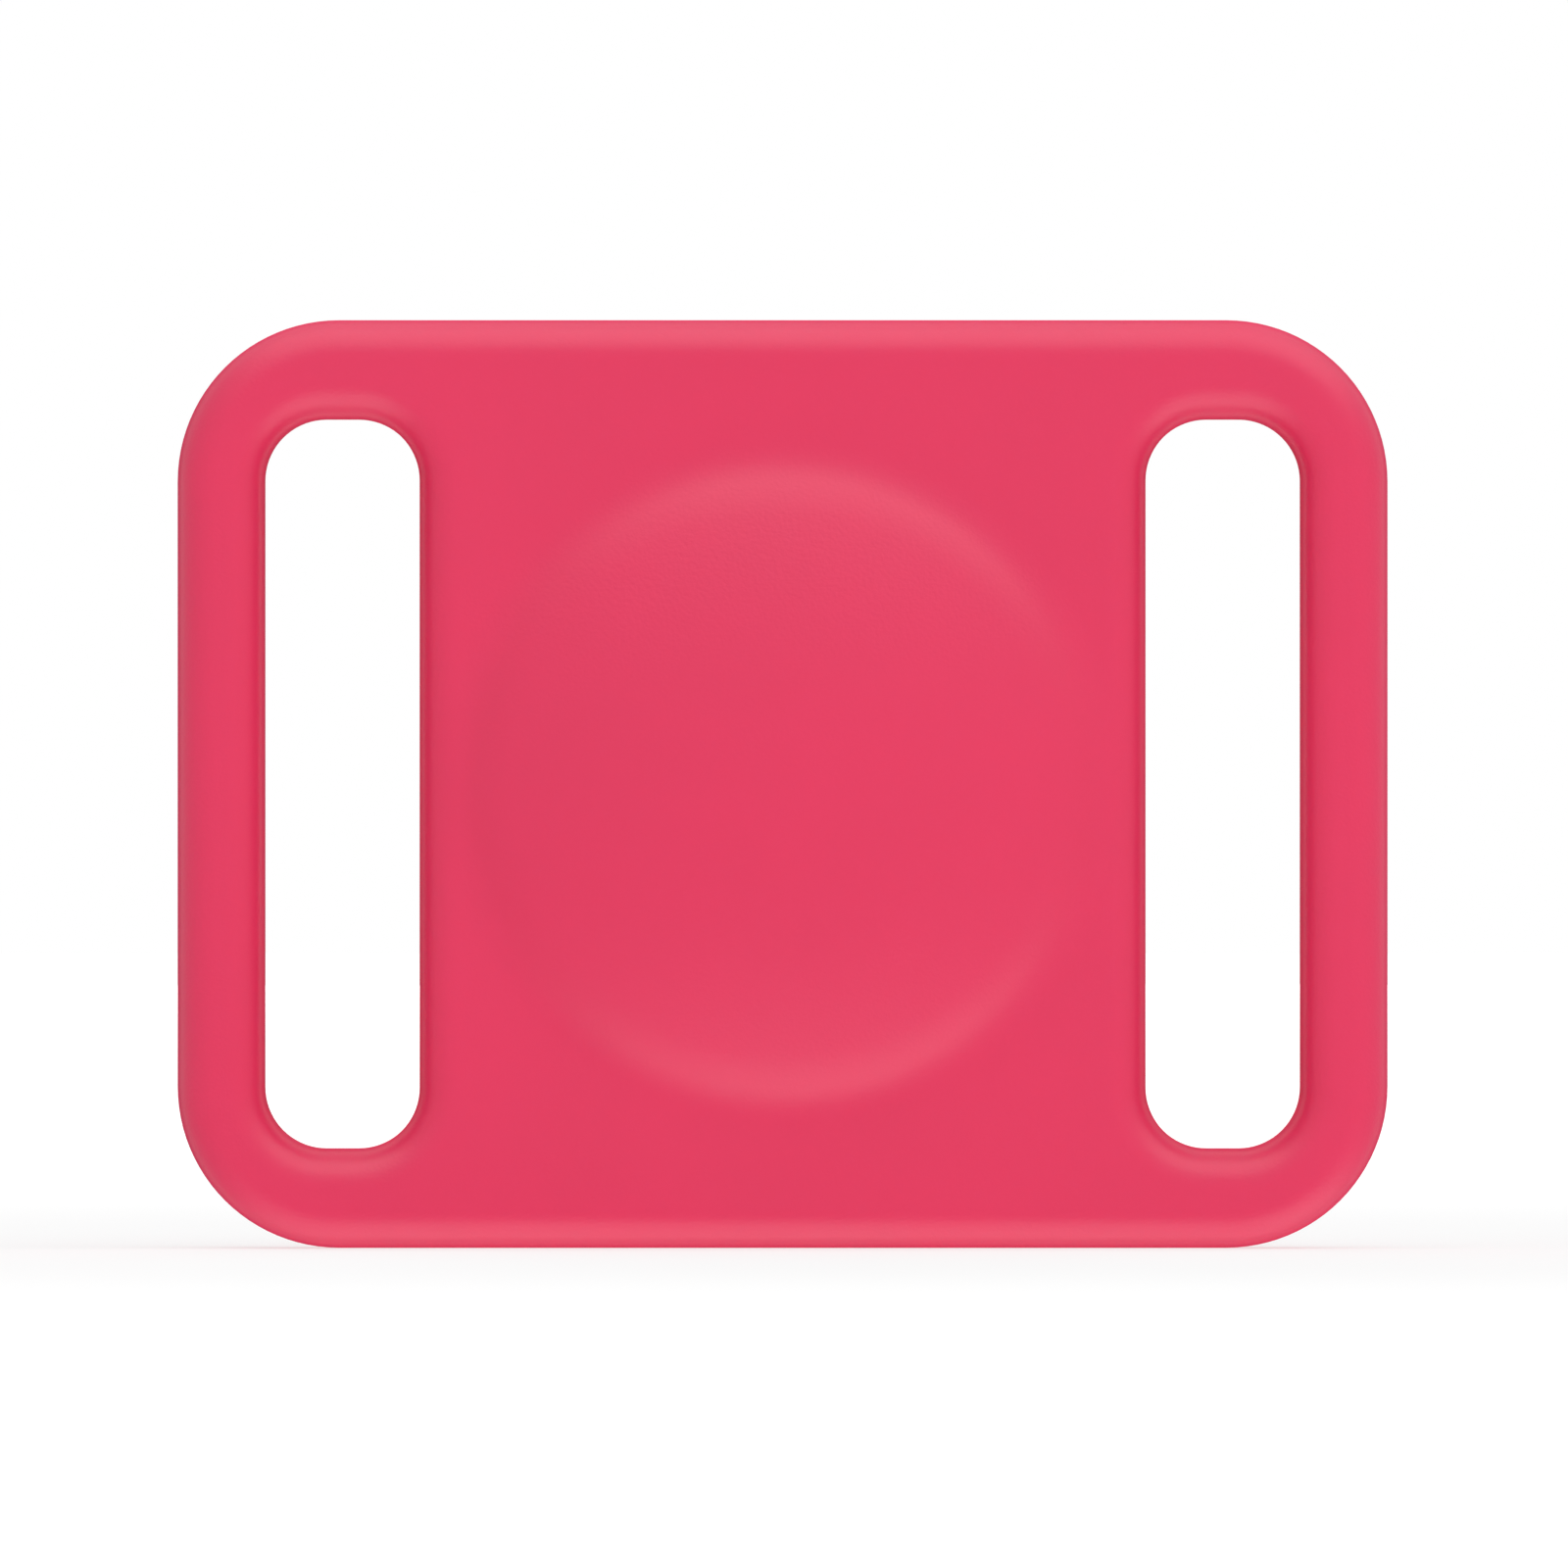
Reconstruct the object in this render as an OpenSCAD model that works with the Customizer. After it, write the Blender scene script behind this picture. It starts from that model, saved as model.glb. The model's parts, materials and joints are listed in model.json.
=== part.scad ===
// Silicone holder for a coin-shaped tracker tag, with a strap slot on each side.
// The tag is pushed in from the rear, through a mouth that stretches over it, and a strap
// that runs through both slots passes behind it. All sizes are in millimetres.

/* [Strap slots] */
// Width of each slot, across the holder
slot_w = 7.7; // [6.4:0.1:10]
// Height of each slot, a little more than the widest strap
slot_h = 36.2; // [34:0.2:44]
// Radius of the corners of the slots
slot_corner_r = 3.05; // [1.5:0.05:3.2]

/* [Plate] */
// Width of the bar outside each slot
bar_w = 4.3; // [4:0.1:7]
// Height of the band above and below the slots
band_h = 4.9; // [4.2:0.1:9]
// Radius of the four outer corners
corner_r = 8; // [6:0.5:11]
// Rounding of the front edges
front_edge_r = 1.9; // [1:0.1:2]
// Rounding of the rear edges
rear_edge_r = 1.5; // [0.8:0.1:2]
// Wall between the pocket and each slot
slot_wall = 1.9; // [1.6:0.1:4]

/* [Dome and pocket] */
// Rise of the dome above the front face of the plate
dome_rise = 3.25; // [2.4:0.05:4]
// Steepest slope of the dome's flank, in degrees
flank_slope = 28; // [24:1:34]
// Silicone in front of the tag
front_wall = 1.2; // [0.9:0.1:2]
// Clearance all round the tag
pocket_gap = 0.15; // [0.1:0.01:0.3]
// Thickness of the lip behind the tag
lip_t = 1.4; // [1.2:0.1:2.2]
// Clearance between the mouth and the battery cover
mouth_gap = 0.7; // [0.3:0.1:1.2]

/* [Coin cell] */
// Diameter of the coin cell
cell_d = 20; // [18:0.5:24]
// Thickness of the coin cell
cell_t = 3.2; // [2.6:0.1:3.6]

/* [Tag housing] */
// Wall of the crown shell
shell_wall = 1; // [0.7:0.05:1.2]
// Roundness of the tag's rim
rim_r = 2.6; // [2.2:0.1:2.9]
// Flat white ring round the battery cover
rim_flat = 0.45; // [0.3:0.05:0.8]
// Rise of the steel cover over the rim
cover_rise = 0.57; // [0.3:0.01:0.8]
// Thickness of the steel cover
cover_t = 0.35; // [0.25:0.05:0.5]
// Turn that locks the battery cover, in degrees
lock_turn = 30; // [26:1:34]

/* [Hidden] */
$fn = 128;

// Facets of the few circles that are much larger than the piece that they shape
ball_fn = 1440;

// Overrun of every cut past the face that it opens
over = 0.3;

// Colours, as the eye sees them
silicone = [0.90, 0.26, 0.40];
white_plastic = [0.94, 0.94, 0.93];
grey_plastic = [0.72, 0.73, 0.74];
black_plastic = [0.16, 0.16, 0.17];
board_green = [0.12, 0.34, 0.22];
copper = [0.80, 0.50, 0.28];
gold_plate = [0.85, 0.68, 0.32];
steel = [0.78, 0.79, 0.80];
magnet_grey = [0.45, 0.46, 0.48];
seal_black = [0.10, 0.10, 0.11];
cathode_black = [0.20, 0.19, 0.19];
paper_white = [0.88, 0.86, 0.80];

// The tag is built outwards from its coin cell: each radius is the last one and a named step
cell_r = cell_d / 2;
cell_ring_gap = 0.6;
ring_wall = 1;
lug_reach = 0.85;
cover_lap = 0.35;
cover_gap = 0.1;
ring_in_r = cell_r + cell_ring_gap;
ring_out_r = ring_in_r + ring_wall;
lug_r = ring_out_r + lug_reach;
cover_r = lug_r + cover_lap;
seat_r = cover_r + cover_gap;
rim_c_r = seat_r + rim_flat;
tag_r = rim_c_r + rim_r;

// Depths in the tag run rearwards from its front apex, through the stack of its pieces
part_room = 1.75;
board_t = 0.5;
post_h = 0.3;
floor_t = 0.35;
spring_room = 0.2;
cell_recess = 0.13;
board_front = shell_wall + part_room;
board_rear = board_front + board_t;
floor_front = board_rear + post_h;
floor_rear = floor_front + floor_t;
cell_front = floor_rear + spring_room;
cell_rear = cell_front + cell_t;
rim_rear = cell_rear + cell_recess;
tag_rear = rim_rear + cover_rise;
rim_c_t = rim_rear - rim_r;

// The crown is the sphere through the apex that runs smoothly into the rim's round
crown_r = (rim_c_r * rim_c_r + rim_c_t * rim_c_t - rim_r * rim_r) / (2 * (rim_c_t - rim_r));
crown_slope = asin(rim_c_r / (crown_r - rim_r));
crown_in_r = crown_r - shell_wall;

// The holder, from front to rear
total_t = front_wall + pocket_gap + rim_rear + pocket_gap + lip_t;
apex_z = -total_t / 2;
face_z = apex_z + dome_rise;
rear_z = total_t / 2;
tag_z = apex_z + front_wall + pocket_gap;

// The holder, across
pocket_r = tag_r + pocket_gap;
panel_half = pocket_r + slot_wall;
slot_x = panel_half + slot_w / 2;
body_w = 2 * (panel_half + slot_w + bar_w);
body_h = slot_h + 2 * band_h;
edge_share = 0.46;
slot_round_share = 0.45;
edge_r = min(front_edge_r, bar_w * edge_share);
back_r = min(rear_edge_r, edge_r);
slot_r = min(slot_corner_r, slot_w * slot_round_share);

// The dome: a crown parallel to the tag's, a soft shoulder and a hollow foot share its rise
crown_share = 0.63;
shoulder_share = 0.21;
foot_share = 1 - crown_share - shoulder_share;
dome_r = crown_r + pocket_gap + front_wall;
dome_slope = acos(1 - crown_share * dome_rise / dome_r);
shoulder_r = shoulder_share * dome_rise / (cos(dome_slope) - cos(flank_slope));
foot_r = foot_share * dome_rise / (1 - cos(flank_slope));
apex = [0, apex_z];
crown_end = apex + dome_r * [sin(dome_slope), 1 - cos(dome_slope)];
shoulder_c = crown_end + shoulder_r * [-sin(dome_slope), cos(dome_slope)];
shoulder_end = shoulder_c + shoulder_r * [sin(flank_slope), -cos(flank_slope)];
foot_c = shoulder_end + foot_r * [sin(flank_slope), -cos(flank_slope)];
foot_end = foot_c + [0, foot_r];
dome_root = 0.5;
lining_root = 0.1;

// The lip: its root stays clear of the tag, and its inner edge rolls into the pocket's round
lip_root_gap = 0.07;
lip_edge_r = 0.7;
lip_roll_r = 0.4;
mouth_r = cover_r + mouth_gap;
lip_root_r = tag_r + lip_root_gap;
rim_c = [rim_c_r, tag_z + rim_c_t];
pocket_round_r = rim_r + pocket_gap;
roll_dx = mouth_r + lip_roll_r - rim_c_r;
roll_c = rim_c + [roll_dx, sqrt(pow(pocket_round_r + lip_roll_r, 2) - roll_dx * roll_dx)];
roll_end = rim_c + (roll_c - rim_c) * pocket_round_r / (pocket_round_r + lip_roll_r);

// Battery cover, bayonet and seal
cover_c = tag_rear - (cover_r * cover_r + cover_rise * cover_rise) / (2 * cover_rise);
cover_ball_r = tag_rear - cover_c;
seal_t = 0.3;
seal_gap = 0.02;
ledge_t = 0.54;
lug_t = 0.65;
lug_gap = 0.12;
ring_gap = 0.15;
twist_gap = 0.2;
lug_count = 3;
lug_turn = 26;
notch_spare = 3;
stop_step = 0.05;
stop_root = 0.15;
notch_turn = lug_turn + 2 * notch_spare;
ledge_rear = rim_rear - cover_t - seal_t - 2 * seal_gap;
ledge_front = ledge_rear - ledge_t;
lug_rear = ledge_front - lug_gap;
lug_front = lug_rear - lug_t;
channel_front = lug_front - lug_gap;
ledge_r = ring_out_r + ring_gap;
channel_r = lug_r + twist_gap;
seal_in_r = ring_out_r + cover_gap;
seal_out_r = cover_r - cover_gap;

// Battery tray and antenna frame
well_gap = 0.25;
well_wall = 1.45;
seam_reach = 0.65;
seam_gap = 0.05;
step_wall = 0.68;
frame_gap = 0.2;
frame_play = 0.05;
trace_t = 0.08;
well_r = cell_r + well_gap;
hub_r = well_r + well_wall;
aperture_r = rim_c_r + seam_reach;
tray_r = aperture_r - seam_gap;
step_front = channel_front - step_wall;
frame_in_r = hub_r + frame_gap;
frame_out_r = aperture_r - frame_gap;
frame_rear = step_front - frame_gap;
trace_count = 3;
trace_turn = 96;
trace_w = 0.7;
trace_r = (frame_in_r + frame_out_r) / 2;

// Loudspeaker: a pot magnet on the tray, and a coil on the inside of the crown
coil_in_r = 4.35;
coil_out_r = 4.95;
coil_depth = 1.3;
pot_gap = 0.12;
pot_wall = 0.25;
pot_t = 0.35;
pole_t = 0.35;
pole_gap = 0.4;
yoke_in_r = coil_out_r + pot_gap;
yoke_r = yoke_in_r + pot_wall;
magnet_r = coil_in_r - pole_gap;
pole_r = coil_in_r - pot_gap;
pole_front = shell_wall + pole_gap;
magnet_front = pole_front + pole_t;
yoke_floor = floor_front - pot_t;
coil_rear = shell_wall + coil_depth;
yoke_front = magnet_front;

// Circuit board: as wide as the crown lets it be, round the loudspeaker
board_gap = 0.12;
board_room = board_front - board_gap - shell_wall;
board_r = min(sqrt(2 * crown_in_r * board_room - board_room * board_room), hub_r);
board_hole_r = yoke_r + frame_gap;
post_r = 0.8;
post_count = 3;
post_start = 60;
post_at_r = (board_hole_r + board_r) / 2;
module_w = 4.2;
module_d = 3.4;
module_t = 0.5;
module_share = 0.33;
module_at_r = board_hole_r + module_share * (board_r - board_hole_r);
chip_count = 7;
chip_w = 1.1;
chip_d = 0.7;
chip_t = 0.45;
chip_start = 45;
chip_turn = 39;
chip_at_r = board_hole_r + chip_w;

// Contact springs
spring_t = 0.15;
spring_w = 3;
spring_slack = 0.2;
spring_count = 2;
spring_start = 30;
spring_gap = 0.03;
spring_bump_r = 0.4;
spring_top = channel_front - frame_gap;
finger_count = 3;
finger_w = 1.4;
finger_gap = 0.03;
finger_end = 0.3;
finger_hub_r = 1.6;
tail_w = 1;
tail_at = board_hole_r + frame_gap;
finger_reach = tail_at + spring_t + finger_end;

// Coin cell
can_wall = 0.25;
can_round_r = 0.4;
crimp_reach = 0.75;
cap_inset = 1.4;
flange_reach = 0.6;
flange_t = 0.15;
layer_gap = 0.03;
lithium_t = 0.5;
separator_t = 0.08;
seal_wall = 0.5;
can_front = cell_front + can_wall;
crimp_rear = can_front + can_wall;
cap_r = cell_r - cap_inset;
gasket_out_r = cell_r - can_wall - layer_gap;
gasket_in_r = gasket_out_r - seal_wall;
gasket_front = crimp_rear + layer_gap;
flange_front = gasket_front + separator_t + flange_t;
flange_rear = flange_front + flange_t;
flange_r = cap_r + flange_reach;
lithium_front = cell_front + can_wall + layer_gap;
lithium_rear = lithium_front + lithium_t;
lithium_r = cap_r - can_wall - layer_gap;
separator_front = max(lithium_rear, flange_rear) + layer_gap;
pellet_front = separator_front + separator_t + layer_gap;
pellet_rear = cell_rear - can_wall - layer_gap;
pellet_r = gasket_in_r - layer_gap;

// Turns a profile or a plate that was drawn in plan so that its depth runs rearwards, along +Y
module upright() {
    rotate([-90, 0, 0]) children();
}

// Places what is drawn by its depth in the tag
module in_tag() {
    upright() translate([0, 0, tag_z]) children();
}

// Repeats a piece evenly round the axis
module round_axis(count, start = 0) {
    for (i = [0 : count - 1]) {
        rotate(start + i * 360 / count) children();
    }
}

// The part of a circle between a chord and its arc, to swell an outline's straight side
module bulge(centre, radius, from, to) {
    span = to - from;
    side = [-span[1], span[0]] / norm(span);
    away = (from - centre) * side > 0 ? side * radius : -side * radius;
    intersection() {
        translate(centre) circle(r = radius);
        polygon([from, to, to + away, from + away]);
    }
}

// A flat ring or disc as a revolved rectangle
module ring(in_r, out_r, front, rear) {
    rotate_extrude() translate([in_r, front]) square([out_r - in_r, rear - front]);
}

// A stretch of a flat ring, centred on the angle 0
module ring_arc(in_r, out_r, front, rear, turn) {
    rotate(-turn / 2) rotate_extrude(angle = turn) {
        translate([in_r, front]) square([out_r - in_r, rear - front]);
    }
}

// Half of the tag's outline, grown by a clearance
module tag_outline(grow = 0) {
    crown_c = [0, crown_r];
    rim_at = [rim_c_r, rim_c_t];
    tip = [0, -grow];
    shoulder = crown_c + (crown_r + grow) * [sin(crown_slope), -cos(crown_slope)];
    widest = rim_at + [rim_r + grow, 0];
    rear = rim_at + [0, rim_r + grow];
    polygon([tip, shoulder, widest, rear, [0, rear[1]]]);
    bulge(crown_c, crown_r + grow, tip, shoulder);
    bulge(rim_at, rim_r + grow, shoulder, widest);
    bulge(rim_at, rim_r + grow, widest, rear);
}

// The space inside the tag's crown
module inside_crown(play = 0) {
    translate([0, crown_r]) circle(r = crown_in_r - play, $fn = ball_fn);
}

// A wall as deep as the plate, from the line u = 0 out to its rounded edge at u = reach
module edge_profile(reach) {
    front_in = [reach - edge_r, face_z];
    front_out = [reach, face_z + edge_r];
    rear_out = [reach, rear_z - back_r];
    rear_in = [reach - back_r, rear_z];
    polygon([[0, face_z], front_in, front_out, rear_out, rear_in, [0, rear_z]]);
    bulge([reach - edge_r, face_z + edge_r], edge_r, front_in, front_out);
    bulge([reach - back_r, rear_z - back_r], back_r, rear_out, rear_in);
}

// Carries a profile round a rounded rectangle; the profile's axis is the rectangle's edge
module around(w, h, r) {
    for (sx = [-1, 1], sy = [-1, 1]) {
        turn = sx > 0 ? (sy > 0 ? 0 : 270) : (sy > 0 ? 90 : 180);
        translate([sx * (w / 2 - r), sy * (h / 2 - r), 0]) {
            rotate(turn) rotate_extrude(angle = 90) translate([r, 0]) children();
        }
    }
    for (turn = [0, 180]) {
        rotate(turn) translate([w / 2, 0, 0]) rotate([90, 0, 0]) {
            linear_extrude(height = h - 2 * r, center = true) children();
        }
    }
    for (turn = [90, 270]) {
        rotate(turn) translate([h / 2, 0, 0]) rotate([90, 0, 0]) {
            linear_extrude(height = w - 2 * r, center = true) children();
        }
    }
}

// A solid block with rounded corners, as deep as the plate and past both faces
module slot_block(grow) {
    w = slot_w + 2 * grow;
    h = slot_h + 2 * grow;
    r = slot_r + grow;
    translate([0, 0, face_z - dome_rise]) linear_extrude(height = total_t + 2 * over) {
        square([w, h - 2 * r], center = true);
        square([w - 2 * r, h], center = true);
        for (sx = [-1, 1], sy = [-1, 1]) {
            translate([sx * (w / 2 - r), sy * (h / 2 - r)]) circle(r = r);
        }
    }
}

// Repeats a slot's shape on both sides
module both_slots() {
    for (side = [-1, 1]) {
        translate([side * slot_x, 0, 0]) children();
    }
}

// The plate with its rounded outer edge and no holes
module plate() {
    translate([0, 0, (face_z + rear_z) / 2]) {
        cube([body_w - 2 * corner_r, body_h - 2 * corner_r, rear_z - face_z], center = true);
    }
    around(body_w, body_h, corner_r) {
        translate([-corner_r, 0]) edge_profile(corner_r);
    }
}

// The rounded wall that lines each slot
module slot_lining() {
    reach = edge_r + lining_root;
    around(slot_w + 2 * reach, slot_h + 2 * reach, slot_r + reach) {
        mirror([1, 0]) edge_profile(reach);
    }
}

// Half of the dome's section, from its apex out to its foot, with its root in the plate
module dome_section() {
    root_z = face_z + dome_root;
    difference() {
        polygon([
            apex, crown_end, shoulder_end, foot_end, [foot_end[0], root_z], [0, root_z]
        ]);
        translate(foot_c) circle(r = foot_r);
    }
    bulge([0, apex_z + dome_r], dome_r, apex, crown_end);
    bulge(shoulder_c, shoulder_r, crown_end, shoulder_end);
}

// The pocket, with a straight way out of it as wide as the root of the lip
module pocket_section() {
    translate([0, tag_z]) tag_outline(pocket_gap);
    translate([0, rim_c[1]]) square([lip_root_r, rear_z + over - rim_c[1]]);
}

// Silicone sleeve: a slotted plate with a dome, hollowed for the tag
module sleeve() {
    color(silicone) upright() difference() {
        union() {
            difference() {
                union() {
                    plate();
                    rotate_extrude() dome_section();
                }
                both_slots() slot_block(edge_r);
            }
            both_slots() slot_lining();
        }
        rotate_extrude() pocket_section();
    }
}

// The stretching lip round the mouth, part of the same moulding as the sleeve
module sleeve_lip() {
    edge_c = [mouth_r + lip_edge_r, rear_z - lip_edge_r];
    edge_rear = [mouth_r + lip_edge_r, rear_z];
    edge_in = [mouth_r, rear_z - lip_edge_r];
    roll_in = [mouth_r, roll_c[1]];
    color(silicone) upright() rotate_extrude() {
        difference() {
            polygon([
                edge_rear, edge_in, roll_in, roll_end,
                [lip_root_r, rim_c[1]], [lip_root_r, rear_z]
            ]);
            translate([0, tag_z]) tag_outline(pocket_gap);
        }
        bulge(edge_c, lip_edge_r, edge_rear, edge_in);
        bulge(roll_c, lip_roll_r, roll_in, roll_end);
    }
}

// White front half of the tag, which wraps round to the seam beside the cover
module crown_shell() {
    color(white_plastic) in_tag() rotate_extrude() difference() {
        tag_outline();
        intersection() {
            inside_crown();
            square([aperture_r, rim_rear + over]);
        }
    }
}

// Plastic ring inside the crown that carries the antennas
module antenna_frame() {
    color(grey_plastic) in_tag() rotate_extrude() intersection() {
        inside_crown(frame_play);
        translate([frame_in_r, 0]) square([frame_out_r - frame_in_r, frame_rear]);
    }
}

// Three plated antenna strips on the rear of their frame
module antenna_traces() {
    color(copper) in_tag() round_axis(trace_count) {
        ring_arc(trace_r - trace_w / 2, trace_r + trace_w / 2, frame_rear,
            frame_rear + trace_t, trace_turn);
    }
}

// Ring-shaped circuit board
module circuit_board() {
    color(board_green) in_tag() ring(board_hole_r, board_r, board_front, board_rear);
}

// Shielded radio package on the front of the board
module radio_module() {
    color(steel) in_tag() translate([module_at_r, 0, board_front - module_t / 2]) {
        cube([module_d, module_w, module_t], center = true);
    }
}

// Chips and passive parts, spread round the rest of the board
module board_parts() {
    color(black_plastic) in_tag() for (i = [0 : chip_count - 1]) {
        rotate(chip_start + i * chip_turn) {
            translate([chip_at_r, 0, board_front - chip_t / 2]) {
                cube([chip_w, chip_d + (i % 3) * chip_d / 2, chip_t], center = true);
            }
        }
    }
}

// Steel pot of the loudspeaker, seated on the tray
module speaker_yoke() {
    color(steel) in_tag() difference() {
        cylinder_between(yoke_r, yoke_front, floor_front);
        cylinder_between(yoke_in_r, yoke_front - over, yoke_floor);
    }
}

// A disc between two depths
module cylinder_between(r, front, rear) {
    translate([0, 0, front]) cylinder(r = r, h = rear - front);
}

// Magnet in the pot
module speaker_magnet() {
    color(magnet_grey) in_tag() cylinder_between(magnet_r, magnet_front, yoke_floor);
}

// Steel plate on the magnet that leads its field into the coil
module pole_plate() {
    color(steel) in_tag() cylinder_between(pole_r, pole_front, magnet_front);
}

// Copper coil bonded to the inside of the crown, which is the loudspeaker's cone
module voice_coil() {
    color(copper) in_tag() rotate_extrude() intersection() {
        inside_crown();
        translate([coil_in_r, 0]) square([coil_out_r - coil_in_r, coil_rear]);
    }
}

// Rear tray of the tag: cell well, bayonet ledges and the seat of the cover
module battery_tray() {
    color(white_plastic) in_tag() {
        difference() {
            rotate_extrude() intersection() {
                tag_outline();
                polygon([
                    [0, floor_front], [hub_r, floor_front], [hub_r, step_front],
                    [tray_r, step_front], [tray_r, rim_rear + over],
                    [seat_r, rim_rear + over], [seat_r, ledge_rear], [ledge_r, ledge_rear],
                    [ledge_r, ledge_front], [channel_r, ledge_front],
                    [channel_r, channel_front], [well_r, channel_front],
                    [well_r, floor_rear], [0, floor_rear]
                ]);
            }
            round_axis(lug_count) lug_notch();
            round_axis(spring_count, spring_start) spring_pocket();
            tail_slot();
        }
        round_axis(lug_count) channel_stop();
        round_axis(post_count, post_start) board_post();
    }
}

// Notch in the ledge that a lug drops through
module lug_notch() {
    ring_arc(ring_in_r, channel_r - stop_step, ledge_front - over, ledge_rear + over, notch_turn);
}

// Stop that fills the channel from the end of one lug's travel to the start of the next
module channel_stop() {
    stop_turn = 360 / lug_count - lock_turn - notch_turn;
    rotate((notch_turn + stop_turn) / 2) {
        ring_arc(ledge_r + stop_step, channel_r + stop_root, channel_front - stop_root,
            ledge_front + stop_root, stop_turn);
    }
}

// Recess in the well's wall and floor behind a positive contact
module spring_pocket() {
    deep = 2 * spring_slack + spring_t + spring_bump_r;
    wide = spring_w + 2 * spring_slack;
    high = channel_front - floor_front + 2 * over;
    translate([cell_r + spring_gap, -wide / 2, floor_front - over]) cube([deep, wide, high]);
}

// Opening in the floor for the tail of the negative contact
module tail_slot() {
    translate([tail_at - spring_slack, -tail_w / 2 - spring_slack, floor_front - over]) {
        cube([spring_t + 2 * spring_slack, tail_w + 2 * spring_slack, floor_t + 2 * over]);
    }
}

// Post under the tray that the board rests on
module board_post() {
    translate([post_at_r, 0, 0]) cylinder_between(post_r, board_rear, floor_front + floor_t / 2);
}

// Two upright springs that press on the side of the cell's can
module contact_positive() {
    stem_r = cell_r + spring_gap + spring_bump_r;
    color(gold_plate) in_tag() round_axis(spring_count, spring_start) {
        translate([stem_r, -spring_w / 2, board_rear]) {
            cube([spring_t, spring_w, spring_top - board_rear]);
        }
        intersection() {
            translate([stem_r, 0, (cell_front + spring_top) / 2]) rotate([90, 0, 0]) {
                cylinder(r = spring_bump_r, h = spring_w / 2, center = true);
            }
            translate([stem_r - spring_bump_r, -spring_w / 2, board_rear]) {
                cube([spring_bump_r, spring_w, spring_top - board_rear]);
            }
        }
    }
}

// Three-fingered spring under the cell, with a tail down to the board
module contact_negative() {
    finger_front = floor_rear + finger_gap;
    color(gold_plate) in_tag() {
        cylinder_between(finger_hub_r, finger_front, finger_front + spring_t);
        round_axis(finger_count) translate([0, -finger_w / 2, finger_front]) {
            cube([finger_reach, finger_w, spring_t]);
        }
        translate([tail_at, -tail_w / 2, board_rear]) {
            cube([spring_t, tail_w, finger_front + spring_t - board_rear]);
        }
    }
}

// Steel can of the coin cell, rolled in over its gasket
module cell_can() {
    round_c = [cell_r - can_round_r, cell_rear - can_round_r];
    round_side = [cell_r, cell_rear - can_round_r];
    round_rear = [cell_r - can_round_r, cell_rear];
    crimp_in_r = cell_r - crimp_reach;
    wall_r = cell_r - can_wall;
    color(steel) in_tag() rotate_extrude() difference() {
        union() {
            polygon([[0, can_front], [cell_r, can_front], round_side, round_rear, [0, cell_rear]]);
            bulge(round_c, can_round_r, round_side, round_rear);
        }
        translate([0, crimp_rear]) square([wall_r, cell_rear - can_wall - crimp_rear]);
        translate([0, can_front - over]) square([crimp_in_r, can_wall + 2 * over]);
    }
}

// Pressed cathode pellet in the bottom of the can
module cathode_pellet() {
    color(cathode_black) in_tag() cylinder_between(pellet_r, pellet_front, pellet_rear);
}

// Porous sheet between the cathode and the lithium
module separator() {
    rear = separator_front + separator_t;
    color(paper_white) in_tag() cylinder_between(pellet_r, separator_front, rear);
}

// Lithium disc under the cap
module lithium_disc() {
    color(grey_plastic) in_tag() cylinder_between(lithium_r, lithium_front, lithium_rear);
}

// Ring that keeps the cap apart from the can
module cell_gasket() {
    lip_in_r = cap_r + layer_gap;
    front_rear = flange_front - layer_gap;
    color(black_plastic) in_tag() rotate_extrude() polygon([
        [lip_in_r, gasket_front], [gasket_out_r, gasket_front], [gasket_out_r, pellet_rear],
        [gasket_in_r, pellet_rear], [gasket_in_r, front_rear], [lip_in_r, front_rear]
    ]);
}

// Negative cap of the coin cell, a shallow dish with a flange
module cell_cap() {
    bend_r = cap_r - can_wall;
    color(steel) in_tag() rotate_extrude() polygon([
        [0, cell_front], [bend_r, cell_front], [cap_r, can_front], [cap_r, flange_front],
        [flange_r, flange_front], [flange_r, flange_rear], [bend_r, flange_rear],
        [bend_r, can_front], [0, can_front]
    ]);
}

// Flat seal between the cover and the ledge
module cover_seal() {
    front = ledge_rear + seal_gap;
    color(seal_black) in_tag() ring(seal_in_r, seal_out_r, front, front + seal_t);
}

// Domed steel battery cover
module cover_plate() {
    color(steel) in_tag() rotate_extrude() intersection() {
        difference() {
            translate([0, cover_c]) circle(r = cover_ball_r, $fn = ball_fn);
            translate([0, cover_c]) circle(r = cover_ball_r - cover_t, $fn = ball_fn);
        }
        translate([0, ledge_rear]) square([cover_r, tag_rear + over - ledge_rear]);
    }
}

// Plastic ring inside the cover, with the three lugs of its bayonet
module cover_ring() {
    lug_root_r = ring_out_r - ring_wall / 2;
    color(white_plastic) in_tag() {
        rotate_extrude() intersection() {
            translate([0, cover_c]) circle(r = cover_ball_r - cover_t, $fn = ball_fn);
            translate([ring_in_r, lug_front]) {
                square([ring_out_r - ring_in_r, tag_rear - lug_front]);
            }
        }
        round_axis(lug_count) ring_arc(lug_root_r, lug_r, lug_front, lug_rear, lug_turn);
    }
}

sleeve();
sleeve_lip();
crown_shell();
antenna_frame();
antenna_traces();
circuit_board();
radio_module();
board_parts();
speaker_yoke();
speaker_magnet();
pole_plate();
voice_coil();
battery_tray();
contact_positive();
contact_negative();
cell_can();
cathode_pellet();
separator();
lithium_disc();
cell_gasket();
cell_cap();
cover_seal();
cover_plate();
cover_ring();
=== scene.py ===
"""Silicone holder for a coin-shaped tracker tag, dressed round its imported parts.

The holder stands upright with +X to the right, +Z up and its dome facing -Y. Sizes are in
millimetres up to the moment that a mesh is made, and every finished mesh is in metres.
"""

import json
import logging
import math
from collections.abc import Callable, Iterable, Sequence
from dataclasses import dataclass, field
from enum import Enum
from typing import Any

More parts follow.
